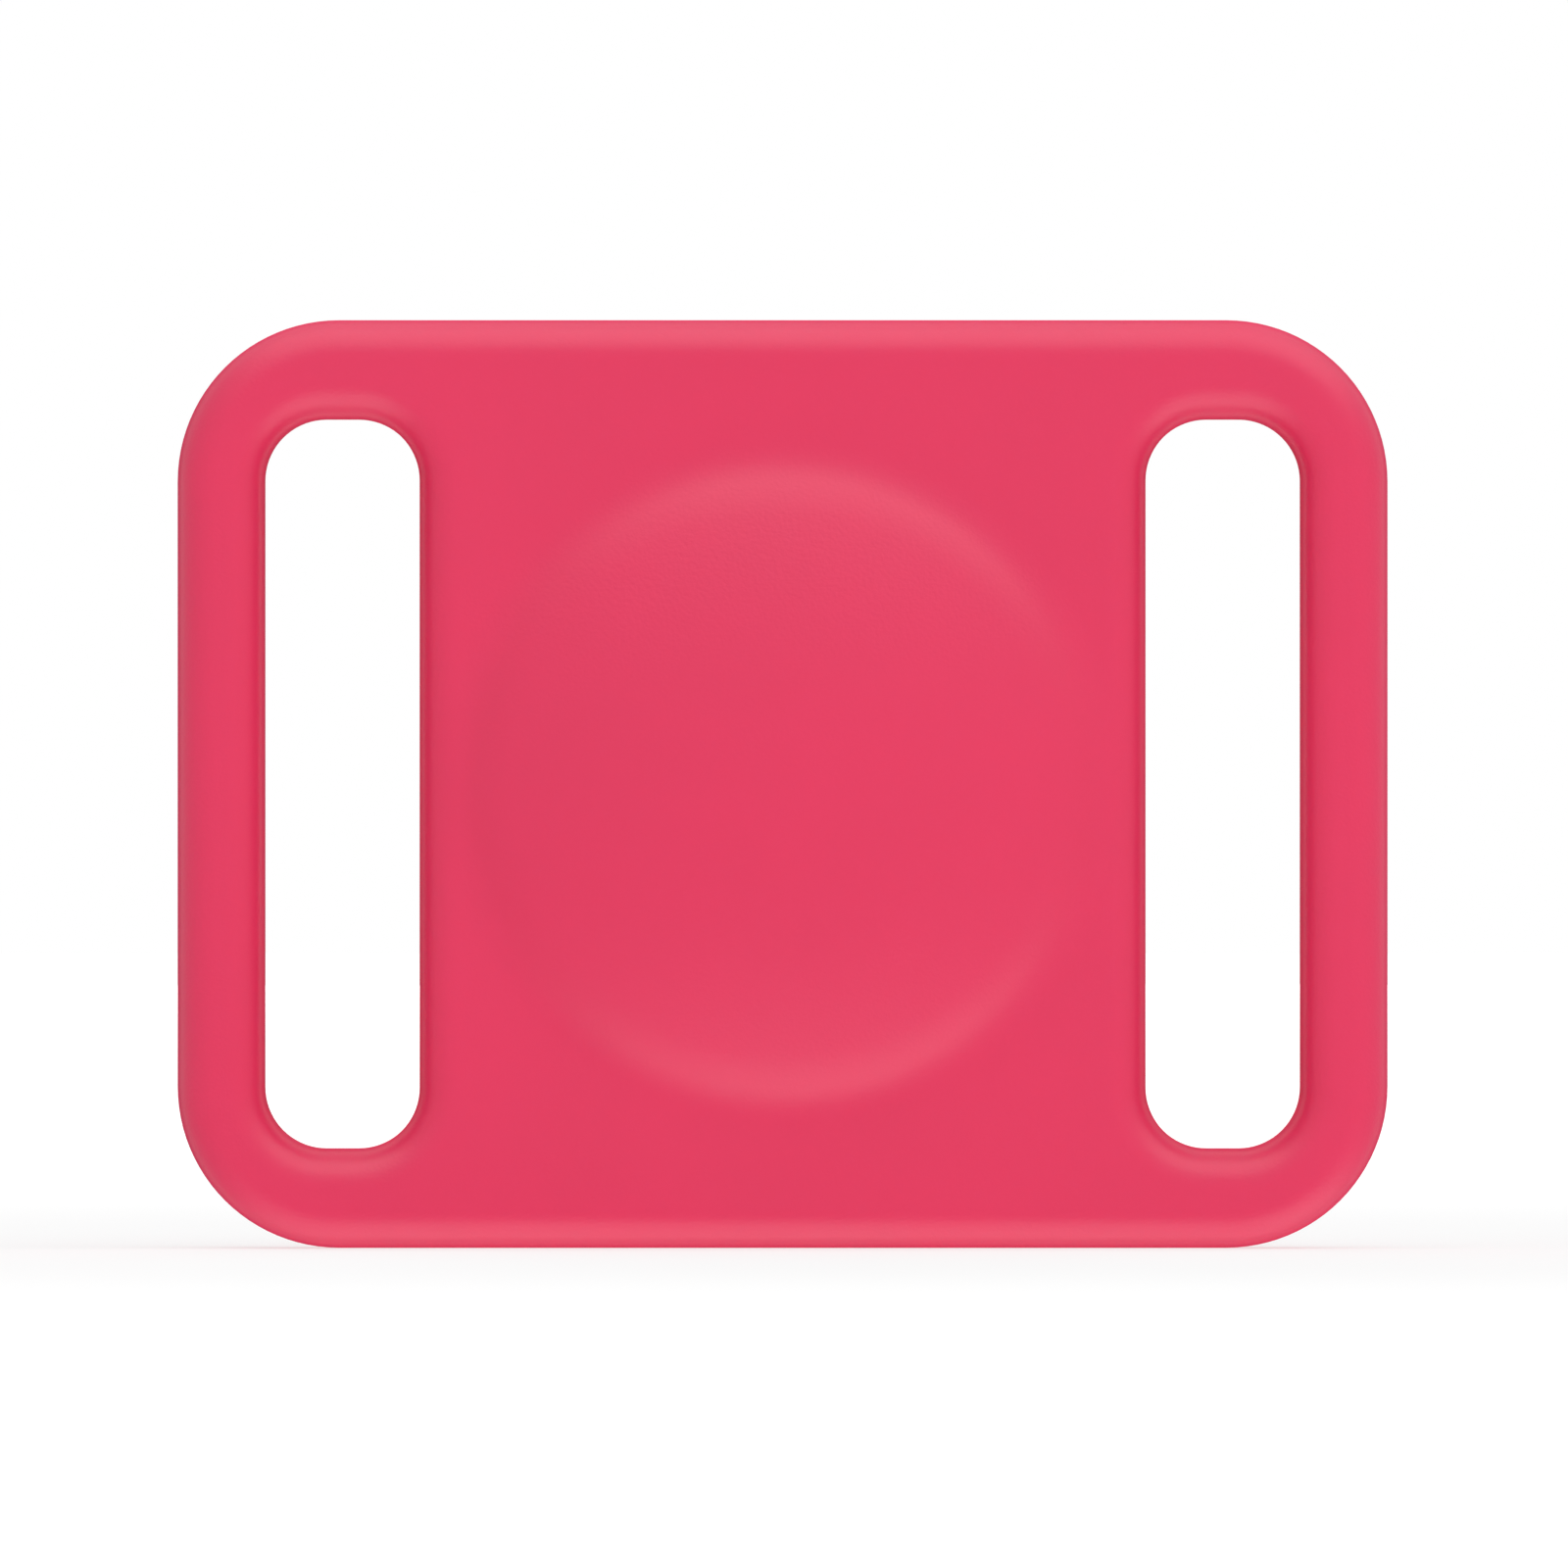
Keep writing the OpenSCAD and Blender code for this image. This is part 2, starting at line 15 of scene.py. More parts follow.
import bmesh
import bpy
from mathutils import Matrix, Vector
from mathutils.geometry import delaunay_2d_cdt

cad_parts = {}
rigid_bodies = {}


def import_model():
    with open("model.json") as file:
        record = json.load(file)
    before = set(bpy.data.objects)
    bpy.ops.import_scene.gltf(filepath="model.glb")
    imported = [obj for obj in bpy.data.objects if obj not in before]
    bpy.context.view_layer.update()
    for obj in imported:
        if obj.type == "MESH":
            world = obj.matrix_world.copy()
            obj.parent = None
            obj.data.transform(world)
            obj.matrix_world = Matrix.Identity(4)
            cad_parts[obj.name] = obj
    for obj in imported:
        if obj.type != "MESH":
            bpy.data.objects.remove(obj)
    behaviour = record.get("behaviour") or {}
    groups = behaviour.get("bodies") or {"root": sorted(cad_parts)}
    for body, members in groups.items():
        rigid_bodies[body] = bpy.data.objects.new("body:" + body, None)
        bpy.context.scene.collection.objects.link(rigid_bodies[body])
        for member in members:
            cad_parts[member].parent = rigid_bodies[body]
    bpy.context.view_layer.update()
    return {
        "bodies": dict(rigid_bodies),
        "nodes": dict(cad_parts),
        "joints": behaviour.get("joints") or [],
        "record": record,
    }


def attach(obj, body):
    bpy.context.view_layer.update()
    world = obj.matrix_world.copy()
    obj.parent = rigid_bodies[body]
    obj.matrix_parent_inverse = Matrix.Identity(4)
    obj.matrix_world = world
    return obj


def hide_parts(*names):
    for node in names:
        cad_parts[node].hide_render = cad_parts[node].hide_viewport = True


log = logging.getLogger("holder")

MM = 0.001
# Points nearer to each other or to the axis than this are one point
MERGE = 4e-6
# The same while a flat outline is filled with triangles, where the numbers are millimetres
SAME_POINT = 1e-7
# How much of an edge a rounding may take, and how far outside it the flat is held
CORNER_SHARE = 0.3
FLAT_HOLD = 1.5

Point = tuple[float, float]
Colour = tuple[float, float, float]


# ---------------------------------------------------------------- node trees


class Term:
    """A socket in a node tree, with arithmetic that adds Math nodes."""

    def __init__(self, tree: bpy.types.NodeTree, socket: bpy.types.NodeSocket) -> None:
        """Wraps a socket.

        Args:
            tree: The node tree that the socket is in.
            socket: An output socket that carries a number.
        """
        self.tree = tree
        self.socket = socket

    def math(self, operation: str, *others: "Term | float") -> "Term":
        """Adds a Math node.

        Args:
            operation: The node's operation.
            others: The operands after this one.

        Returns:
            The node's result.
        """
        node = self.tree.nodes.new("ShaderNodeMath")
        node.operation = operation
        for socket, value in zip(node.inputs, (self, *others)):
            plug(self.tree, socket, value)
        return Term(self.tree, node.outputs[0])

    def __add__(self, other: "Term | float") -> "Term":
        """Sum."""
        return self.math("ADD", other)

    def __sub__(self, other: "Term | float") -> "Term":
        """Difference."""
        return self.math("SUBTRACT", other)

    def __mul__(self, other: "Term | float") -> "Term":
        """Product."""
        return self.math("MULTIPLY", other)

    def least(self, other: "Term | float") -> "Term":
        """The smaller of the two."""
        return self.math("MINIMUM", other)

    def most(self, other: "Term | float") -> "Term":
        """The larger of the two."""
        return self.math("MAXIMUM", other)

    def below(self, other: "Term | float") -> "Term":
        """One where this is below the other, and zero elsewhere."""
        return self.math("LESS_THAN", other)

    def size(self) -> "Term":
        """Absolute value."""
        return self.math("ABSOLUTE")

    def square(self) -> "Term":
        """Square."""
        return self * self

    def root(self) -> "Term":
        """Square root, zero for what rounding leaves below zero."""
        return self.most(0.0).math("SQRT")

    def mixed(self, other: "Term", share: "Term") -> "Term":
        """Goes from this to the other as the share goes from zero to one."""
        return self + (other - self) * share


def plug(tree: bpy.types.NodeTree, socket: bpy.types.NodeSocket, value: Any) -> None:
    """Links a term or a socket to an input, or sets the input to a plain value.

    Args:
        tree: The node tree.
        socket: The input socket.
        value: A Term, an output socket, or a value for the input itself.
    """
    if isinstance(value, Term):
        value = value.socket
    if isinstance(value, bpy.types.NodeSocket):
        tree.links.new(value, socket)
    else:
        socket.default_value = value


def smooth_range(value: Term, start: float, end: float, low: float, high: float) -> Term:
    """Goes smoothly from one value to another while a term crosses a range.

    Args:
        value: The term.
        start: Where the range begins.
        end: Where it ends.
        low: Result up to the beginning.
        high: Result from the end on.

    Returns:
        The result.
    """
    node = value.tree.nodes.new("ShaderNodeMapRange")
    node.interpolation_type = "SMOOTHSTEP"
    for label, number in (("Value", value), ("From Min", start), ("From Max", end),
                          ("To Min", low), ("To Max", high)):
        plug(value.tree, node.inputs[label], number)
    return Term(value.tree, node.outputs["Result"])


class FormTree:
    """A Geometry Nodes tree with a piece's sizes as its named inputs."""

    def __init__(self, name: str, sizes: dict[str, float | int]) -> None:
        """Starts a tree.

        Args:
            name: The tree's name.
            sizes: Name and first value of each input; a whole number makes a whole input.
        """
        self.tree = bpy.data.node_groups.new(name, "GeometryNodeTree")
        face = self.tree.interface
        face.new_socket("Geometry", in_out="INPUT", socket_type="NodeSocketGeometry")
        for label, value in sizes.items():
            kind = "NodeSocketInt" if isinstance(value, int) else "NodeSocketFloat"
            face.new_socket(label, in_out="INPUT", socket_type=kind).default_value = value
        face.new_socket("Material", in_out="INPUT", socket_type="NodeSocketMaterial")
        face.new_socket("Geometry", in_out="OUTPUT", socket_type="NodeSocketGeometry")
        self.entry = self.tree.nodes.new("NodeGroupInput")

    def size(self, label: str) -> Term:
        """One of the named inputs."""
        return Term(self.tree, self.entry.outputs[label])

    def node(self, kind: str, inputs: dict[str | int, Any] | None = None,
             **settings: Any) -> bpy.types.Node:
        """Adds a node.

        Args:
            kind: The node's type.
            inputs: Values and links for its inputs, by name or number.
            settings: Its own settings.

        Returns:
            The node.
        """
        node = self.tree.nodes.new(kind)
        for key, value in settings.items():
            setattr(node, key, value)
        for key, value in (inputs or {}).items():
            plug(self.tree, node.inputs[key], value)
        return node

    def end(self, geometry: bpy.types.NodeSocket) -> "FormTree":
        """Ends the tree: instances become real and take the material.

        Args:
            geometry: The finished geometry.

        Returns:
            The tree itself.
        """
        real = self.node("GeometryNodeRealizeInstances", {"Geometry": geometry})
        dressed = self.node("GeometryNodeSetMaterial", {
            "Geometry": real.outputs[0],
            "Material": self.entry.outputs["Material"],
        })
        out = self.tree.nodes.new("NodeGroupOutput")
        plug(self.tree, out.inputs[0], dressed.outputs[0])
        return self

    def apply(self, mesh: bpy.types.Mesh, material: bpy.types.Material,
              sizes: dict[str, float | int]) -> bpy.types.Mesh:
        """Runs the tree on a mesh.

        Args:
            mesh: What the tree starts from.
            material: The finish of the result.
            sizes: Values for the named inputs.

        Returns:
            The result as a plain mesh.
        """
        blank = bpy.data.objects.new(mesh.name, mesh)
        bpy.context.scene.collection.objects.link(blank)
        modifier = blank.modifiers.new(self.tree.name, "NODES")
        modifier.node_group = self.tree
        values = {**sizes, "Material": material}
        for item in self.tree.interface.items_tree:
            if item.in_out == "INPUT" and item.name in values:
                modifier[item.identifier] = values[item.name]
        graph = bpy.context.evaluated_depsgraph_get()
        result = bpy.data.meshes.new_from_object(blank.evaluated_get(graph))
        blank.modifiers.remove(modifier)
        bpy.data.objects.remove(blank)
        return result


def round_axis_tree() -> FormTree:
    """Repeats a mesh evenly round the tag's axis.

    Returns:
        A tree with the number of copies, the first angle and the pitch as inputs.
    """
    form = FormTree("Round The Axis", {"Count": 3, "Start": 0.0, "Pitch": math.tau / 3})
    index = Term(form.tree, form.node("GeometryNodeInputIndex").outputs[0])
    turn = form.size("Start") + index * form.size("Pitch")
    places = form.node("GeometryNodePoints", {"Count": form.entry.outputs["Count"]})
    around = form.node("ShaderNodeCombineXYZ", {"Y": turn})
    copies = form.node("GeometryNodeInstanceOnPoints", {
        "Points": places.outputs[0],
        "Instance": form.entry.outputs["Geometry"],
        "Rotation": around.outputs[0],
    })
    return form.end(copies.outputs[0])


def wound_coil_tree() -> FormTree:
    """Winds a round wire into one layer of a coil whose axis is +Y.

    Returns:
        A tree with the coil's sizes as inputs.
    """
    form = FormTree("Wound Coil", {
        "Turns": 12.0, "Radius": 4.65 * MM, "Length": 1.0 * MM, "Wire": 0.05 * MM, "Front": 0.0,
    })
    path = form.node("GeometryNodeCurveSpiral", {
        "Resolution": 40, "Rotations": form.size("Turns"),
        "Start Radius": form.size("Radius"), "End Radius": form.size("Radius"),
        "Height": form.size("Length"),
    })
    section = form.node("GeometryNodeCurvePrimitiveCircle", {
        "Resolution": 6, "Radius": form.size("Wire"),
    })
    wire = form.node("GeometryNodeCurveToMesh", {
        "Curve": path.outputs[0], "Profile Curve": section.outputs[0], "Fill Caps": True,
    })
    place = form.node("ShaderNodeCombineXYZ", {"Y": form.size("Front")})
    laid = form.node("GeometryNodeTransform", {
        "Geometry": wire.outputs[0], "Translation": place.outputs[0],
        "Rotation": (-math.pi / 2, 0.0, 0.0),
    })
    return form.end(laid.outputs[0])


# ---------------------------------------------------------------- meshes


def mesh_from(name: str, vertices: Sequence[Sequence[float]],
              faces: Sequence[Sequence[int]]) -> bpy.types.Mesh:
    """Makes a mesh from points in millimetres.

    Args:
        name: The mesh's name.
        vertices: Points in millimetres.
        faces: Corners of each face.

    Returns:
        The mesh, in metres.
    """
    mesh = bpy.data.meshes.new(name)
    mesh.from_pydata([Vector(v) * MM for v in vertices], [], [list(f) for f in faces])
    return mesh


def joined(name: str, meshes: Iterable[bpy.types.Mesh], merge: bool = True) -> bpy.types.Mesh:
    """Joins meshes, closes their shared edges and turns all faces outwards.

    Args:
        name: Name of the result.
        meshes: The meshes; all have the same one material, or none.
        merge: Whether points that meet become one.

    Returns:
        The joined mesh, smooth.
    """
    build = bmesh.new()
    materials: list[bpy.types.Material] = []
    for mesh in meshes:
        materials = materials or list(mesh.materials)
        build.from_mesh(mesh)
    if merge:
        bmesh.ops.remove_doubles(build, verts=build.verts, dist=MERGE)
    bmesh.ops.recalc_face_normals(build, faces=build.faces)
    result = bpy.data.meshes.new(name)
    build.to_mesh(result)
    build.free()
    for material in materials:
        result.materials.append(material)
    result.shade_smooth()
    return result


def arc(centre: Point, radius: float, start: float, end: float, steps: int) -> list[Point]:
    """Points along an arc.

    Args:
        centre: The arc's centre.
        radius: Its radius.
        start: First angle, in degrees from the first axis.
        end: Last angle.
        steps: Number of stretches.

    Returns:
        The points, both ends included.
    """
    turns = [math.radians(start + (end - start) * i / steps) for i in range(steps + 1)]
    return [(centre[0] + radius * math.cos(t), centre[1] + radius * math.sin(t)) for t in turns]


def quarter_insets(radius: float, steps: int) -> list[float]:
    """Distances from an edge at which even steps round its quarter circle lie.

    Args:
        radius: Radius of the rounding.
        steps: Number of stretches.

    Returns:
        The distances, from zero to the radius.
    """
    return [radius * (1 - math.sin(math.radians(90 - 90 * i / steps))) for i in range(steps + 1)]


def softened(outline: Sequence[Point], radius: float, steps: int = 3) -> list[Point]:
    """Rounds the corners of a closed outline, apart from those on the axis.

    Args:
        outline: Corners as radius and depth.
        radius: How far from each corner its rounding starts.
        steps: Number of stretches in each rounding.

    Returns:
        The outline with its roundings, and a point beside each to keep the flats flat.
    """
    soft: list[Point] = []
    for i, corner in enumerate(outline):
        here = Vector(corner)
        before = Vector(outline[i - 1]) - here
        after = Vector(outline[(i + 1) % len(outline)]) - here
        if corner[0] < MERGE:
            soft.append(corner)
            continue
        reach = min(radius, before.length * CORNER_SHARE, after.length * CORNER_SHARE)
        start, end = before.normalized() * reach, after.normalized() * reach
        soft.append(tuple(here + start * FLAT_HOLD))
        for k in range(steps + 1):
            s = k / steps
            soft.append(tuple(here + start * (1 - s) ** 2 + end * s ** 2))
        soft.append(tuple(here + end * FLAT_HOLD))
    return soft


def band(inner: float, outer: float, front: float, rear: float, edge: float,
         steps: int) -> list[Point]:
    """The section of a flat ring, with softened corners.

    Args:
        inner: Inner radius, in millimetres.
        outer: Outer radius.
        front: Depth of the front face.
        rear: Depth of the rear face.
        edge: Size of the corners' rounding.
        steps: Number of stretches in each rounding.

    Returns:
        The closed outline, as radius and depth.
    """
    return softened([(inner, front), (outer, front), (outer, rear), (inner, rear)], edge, steps)


def lathe(name: str, outline: Sequence[Point], closed: bool = True,
          segments: int = 160) -> bpy.types.Mesh:
    """Turns an outline round the tag's axis.

    Args:
        name: The mesh's name.
        outline: Radius and depth of each point, in millimetres.
        closed: Whether the last point joins the first.
        segments: Number of steps round the axis.

    Returns:
        The turned mesh, closed at its poles.
    """
    count = len(outline)
    vertices, faces = [], []
    for i in range(segments):
        turn = math.tau * i / segments
        vertices += [(r * math.cos(turn), y, r * math.sin(turn)) for r, y in outline]
    for i in range(segments):
        here, there = i * count, (i + 1) % segments * count
        for k in range(count if closed else count - 1):
            n = (k + 1) % count
            if outline[k][0] > MERGE or outline[n][0] > MERGE:
                faces.append((here + k, here + n, there + n, there + k))
    mesh = mesh_from(name, vertices, faces)
    mesh.validate()
    return joined(name, [mesh])


def arc_block(name: str, inner: float, outer: float, front: float, rear: float, turn: float,
              edge: float) -> bpy.types.Mesh:
    """Makes a block that is bent round the axis, with softened edges.

    Args:
        name: The mesh's name.
        inner: Inner radius, in millimetres.
        outer: Outer radius.
        front: Depth of the front face.
        rear: Depth of the rear face.
        turn: Degrees that it covers, centred on +X.
        edge: Size of its edges' rounding.

    Returns:
        The block.
    """
    steps = max(4, round(turn / 2))
    section = band(inner, outer, front, rear, edge, 2)
    count = len(section)
    vertices, faces = [], []
    for i in range(steps + 1):
        at = math.radians(turn * (i / steps - 0.5))
        vertices += [(r * math.cos(at), y, r * math.sin(at)) for r, y in section]
    for i in range(steps):
        for k in range(count):
            n = (k + 1) % count
            faces.append((i * count + k, i * count + n, (i + 1) * count + n, (i + 1) * count + k))
    faces.append(tuple(range(count)))
    faces.append(tuple(range(steps * count, (steps + 1) * count)))
    return joined(name, [mesh_from(name, vertices, faces)])


def soft_block(name: str, low: Sequence[float], high: Sequence[float],
               edge: float, steps: int = 3) -> bpy.types.Mesh:
    """Makes a box with rounded edges.

    Args:
        name: The mesh's name.
        low: Lowest corner, in millimetres.
        high: Highest corner.
        edge: Radius of the edges.
        steps: Segments across each edge.

    Returns:
        The block.
    """
    build = bmesh.new()
    bmesh.ops.create_cube(build, size=1.0)
    centre = (Vector(low) + Vector(high)) / 2
    span = Vector(high) - Vector(low)
    bmesh.ops.transform(build, verts=build.verts,
                        matrix=Matrix.Translation(centre * MM) @ Matrix.Diagonal((*span * MM, 1)))
    bmesh.ops.bevel(build, geom=build.edges[:], offset=edge * MM, segments=steps,
                    affect="EDGES", profile=0.5)
    mesh = bpy.data.meshes.new(name)
    build.to_mesh(mesh)
    build.free()
    return joined(name, [mesh])


# ---------------------------------------------------------------- finishes


class Grain(Enum):
    """What the surface of a finish looks like from close by."""

    MOULDED = "Moulded Grain"
    TURNED = "Turned Rings"
    ROLLED = "Rolled Grain"
    PRESSED = "Pressed Powder"


# How far the rolled grain is drawn out along X: this share of its size across
ROLL_SHARE = 0.04


def grain_group(grain: Grain) -> bpy.types.NodeTree:
    """The shader group of a surface pattern, made once.

    Args:
        grain: Which pattern.

    Returns:
        A group with Scale and Patch Scale inputs, and Height and Tone outputs.
    """
    made = bpy.data.node_groups.get(grain.value)
    if made:
        return made
    tree = bpy.data.node_groups.new(grain.value, "ShaderNodeTree")
    face = tree.interface
    for label, value in (("Scale", 5000.0), ("Patch Scale", 90.0)):
        face.new_socket(label, in_out="INPUT", socket_type="NodeSocketFloat").default_value = value
    for label in ("Height", "Tone"):
        face.new_socket(label, in_out="OUTPUT", socket_type="NodeSocketFloat")
    entry = tree.nodes.new("NodeGroupInput")
    out = tree.nodes.new("NodeGroupOutput")
    place = tree.nodes.new("ShaderNodeTexCoord").outputs["Object"]
    scale = Term(tree, entry.outputs["Scale"])

    def noise(vector: Any, size: Any, detail: float, dimensions: str = "3D") -> Term:
        """One noise texture on the piece's own coordinates.

        Args:
            vector: The place, or the distance for a pattern of one dimension.
            size: How fine the pattern is.
            detail: Number of finer layers in it.
            dimensions: 1D or 3D.

        Returns:
            The pattern, about 0.5 on average.
        """
        node = tree.nodes.new("ShaderNodeTexNoise")
        node.noise_dimensions = dimensions
        plug(tree, node.inputs["W" if dimensions == "1D" else "Vector"], vector)
        plug(tree, node.inputs["Scale"], size)
        node.inputs["Detail"].default_value = detail
        return Term(tree, node.outputs["Fac"])

    tone = noise(place, Term(tree, entry.outputs["Patch Scale"]), 3.0)
    if grain is Grain.TURNED:
        split = tree.nodes.new("ShaderNodeSeparateXYZ")
        plug(tree, split.inputs[0], place)
        x, z = Term(tree, split.outputs["X"]), Term(tree, split.outputs["Z"])
        radius = (x.square() + z.square()).root()
        height = noise(radius, scale, 3.0, "1D")
        bands = noise(radius, scale * 0.3, 2.0, "1D")
        tone = height * 0.5 + bands * 0.2 + tone * 0.3
    elif grain is Grain.ROLLED:
        stretch = tree.nodes.new("ShaderNodeMapping")
        stretch.inputs["Scale"].default_value = (ROLL_SHARE, 1.0, 1.0)
        plug(tree, stretch.inputs["Vector"], place)
        height = noise(stretch.outputs[0], scale, 2.0)
    elif grain is Grain.PRESSED:
        cells = tree.nodes.new("ShaderNodeTexVoronoi")
        plug(tree, cells.inputs["Vector"], place)
        plug(tree, cells.inputs["Scale"], scale)
        powder = noise(place, scale * 2.5, 2.0)
        height = Term(tree, cells.outputs["Distance"]) * 0.6 + powder * 0.4
    else:
        swell = noise(place, scale * 0.22, 2.0)
        height = noise(place, scale, 4.0) * 0.75 + swell * 0.25
    plug(tree, out.inputs["Height"], height)
    plug(tree, out.inputs["Tone"], tone)
    return tree


def linear(colour: Colour) -> tuple[float, float, float, float]:
    """Turns a colour as the eye sees it into the linear one that a shader takes."""
    part = [c / 12.92 if c <= 0.04045 else ((c + 0.055) / 1.055) ** 2.4 for c in colour]
    return (*part, 1.0)


@dataclass(frozen=True)
class Finish:
    """Colour, gloss and grain of a material."""

    name: str
    colour: Colour
    roughness: float
    grain: Grain = Grain.MOULDED
    grain_scale: float = 6000.0
    grain_depth: float = 0.01
    patch_scale: float = 90.0
    tone: float = 0.04
    rough_spread: float = 0.06
    metallic: float = 0.0
    ior: float = 1.5
    coat: float = 0.0

    def material(self) -> bpy.types.Material:
        """The finish as a material, made once.

        Returns:
            The material.
        """
        made = bpy.data.materials.get(self.name)
        if made:
            return made
        material = bpy.data.materials.new(self.name)
        material.use_nodes = True
        tree = material.node_tree
        shader = tree.nodes["Principled BSDF"]
        surface = tree.nodes.new("ShaderNodeGroup")
        surface.node_tree = grain_group(self.grain)
        surface.inputs["Scale"].default_value = self.grain_scale
        surface.inputs["Patch Scale"].default_value = self.patch_scale
        tone = Term(tree, surface.outputs["Tone"])
        bump = tree.nodes.new("ShaderNodeBump")
        bump.inputs["Strength"].default_value = 1.0
        bump.inputs["Distance"].default_value = self.grain_depth * MM
        plug(tree, bump.inputs["Height"], surface.outputs["Height"])
        plug(tree, shader.inputs["Normal"], bump.outputs[0])
        rough = (tone - 0.5) * (2 * self.rough_spread) + self.roughness
        plug(tree, shader.inputs["Roughness"], rough)
        tint = tree.nodes.new("ShaderNodeMix")
        tint.data_type = "RGBA"
        plug(tree, tint.inputs["Factor"], tone)
        for side, shift in (("A", 1 - self.tone), ("B", 1 + self.tone)):
            tint.inputs[side].default_value = linear(tuple(min(1, c * shift) for c in self.colour))
        plug(tree, shader.inputs["Base Color"], tint.outputs["Result"])
        shader.inputs["Metallic"].default_value = self.metallic
        shader.inputs["IOR"].default_value = self.ior
        shader.inputs["Coat Weight"].default_value = self.coat
        self.enrich(shader)
        return material

    def enrich(self, shader: bpy.types.Node) -> None:
        """Sets what only some finishes have.

        Args:
            shader: The material's shader node.
        """


@dataclass(frozen=True)
class Silicone(Finish):
    """Satin silicone that lets a little light into its surface."""

    # Light under the surface: its share, how far each colour spreads, and the depth in millimetres
    inner_light: float = 0.12
    spread: Colour = (1.0, 0.32, 0.28)
    depth: float = 0.9
    # Roughness added where the surface turns away, and where that begins and ends
    edge_matt: float = 0.6
    slant_start: float = 0.45
    slant_end: float = 0.9

    def enrich(self, shader: bpy.types.Node) -> None:
        """Adds the light that spreads under the surface, and the matt look of slanting faces.

        Args:
            shader: The material's shader node.
        """
        tree = shader.id_data
        slant = tree.nodes.new("ShaderNodeLayerWeight")
        matt = smooth_range(Term(tree, slant.outputs["Facing"]), self.slant_start,
                            self.slant_end, 0.0, self.edge_matt)
        rough = Term(tree, shader.inputs["Roughness"].links[0].from_socket)
        plug(tree, shader.inputs["Roughness"], rough + matt)
        shader.inputs["Subsurface Weight"].default_value = self.inner_light
        shader.inputs["Subsurface Radius"].default_value = self.spread
        shader.inputs["Subsurface Scale"].default_value = self.depth * MM


SILICONE = Silicone("satin_silicone", (0.890, 0.193, 0.360), 0.4, grain_scale=5200,
                    grain_depth=0.02, patch_scale=120, tone=0.018, rough_spread=0.05)
WHITE_PLASTIC = Finish("white_plastic_gloss", (0.93, 0.93, 0.925), 0.16, grain_scale=2500,
                       grain_depth=0.004, tone=0.008, rough_spread=0.04, ior=1.49, coat=0.2)
INNER_PLASTIC = Finish("white_plastic_satin", (0.90, 0.90, 0.89), 0.38, grain_scale=3500,
                       grain_depth=0.01, tone=0.012)
FRAME_PLASTIC = Finish("grey_plastic", (0.72, 0.73, 0.74), 0.5, grain_scale=4200)
COVER_STEEL = Finish("polished_steel", (0.76, 0.76, 0.77), 0.17, Grain.TURNED, 7000, 0.0008,
                     patch_scale=160, tone=0.06, rough_spread=0.1, metallic=1.0)
SHEET_STEEL = Finish("rolled_steel", (0.77, 0.78, 0.79), 0.3, Grain.ROLLED, 9000, 0.002,
                     tone=0.02, metallic=1.0)
CELL_STEEL = Finish("cell_steel", (0.80, 0.80, 0.79), 0.22, Grain.TURNED, 9000, 0.0015,
                    tone=0.02, metallic=1.0)
MAGNET = Finish("nickel_plate", (0.62, 0.62, 0.62), 0.25, grain_depth=0.004, metallic=1.0)
COPPER = Finish("copper_wire", (0.80, 0.50, 0.30), 0.3, grain_depth=0.004, metallic=1.0)
GOLD_PLATE = Finish("gold_plate", (0.86, 0.70, 0.36), 0.22, Grain.ROLLED, 8000, 0.002, metallic=1.0)
SOLDER_MASK = Finish("solder_mask", (0.10, 0.30, 0.20), 0.28, grain_scale=2600, patch_scale=700,
                     tone=0.14, coat=0.3)
PACKAGE = Finish("chip_package", (0.13, 0.13, 0.14), 0.55, grain_scale=9000, grain_depth=0.006)
SEAL_RUBBER = Finish("seal_rubber", (0.09, 0.09, 0.10), 0.62, grain_scale=7000)
GASKET = Finish("gasket_plastic", (0.16, 0.16, 0.17), 0.45)
CATHODE = Finish("pressed_cathode", (0.17, 0.165, 0.16), 0.85, Grain.PRESSED, 7000, 0.03, tone=0.12)
LITHIUM = Finish("soft_lithium", (0.70, 0.71, 0.72), 0.42, grain_scale=1800, grain_depth=0.02,
                 tone=0.06, metallic=1.0)
SEPARATOR = Finish("separator_sheet", (0.88, 0.86, 0.80), 0.9, Grain.PRESSED, 12000, 0.01)


# ---------------------------------------------------------------- the tag's outline


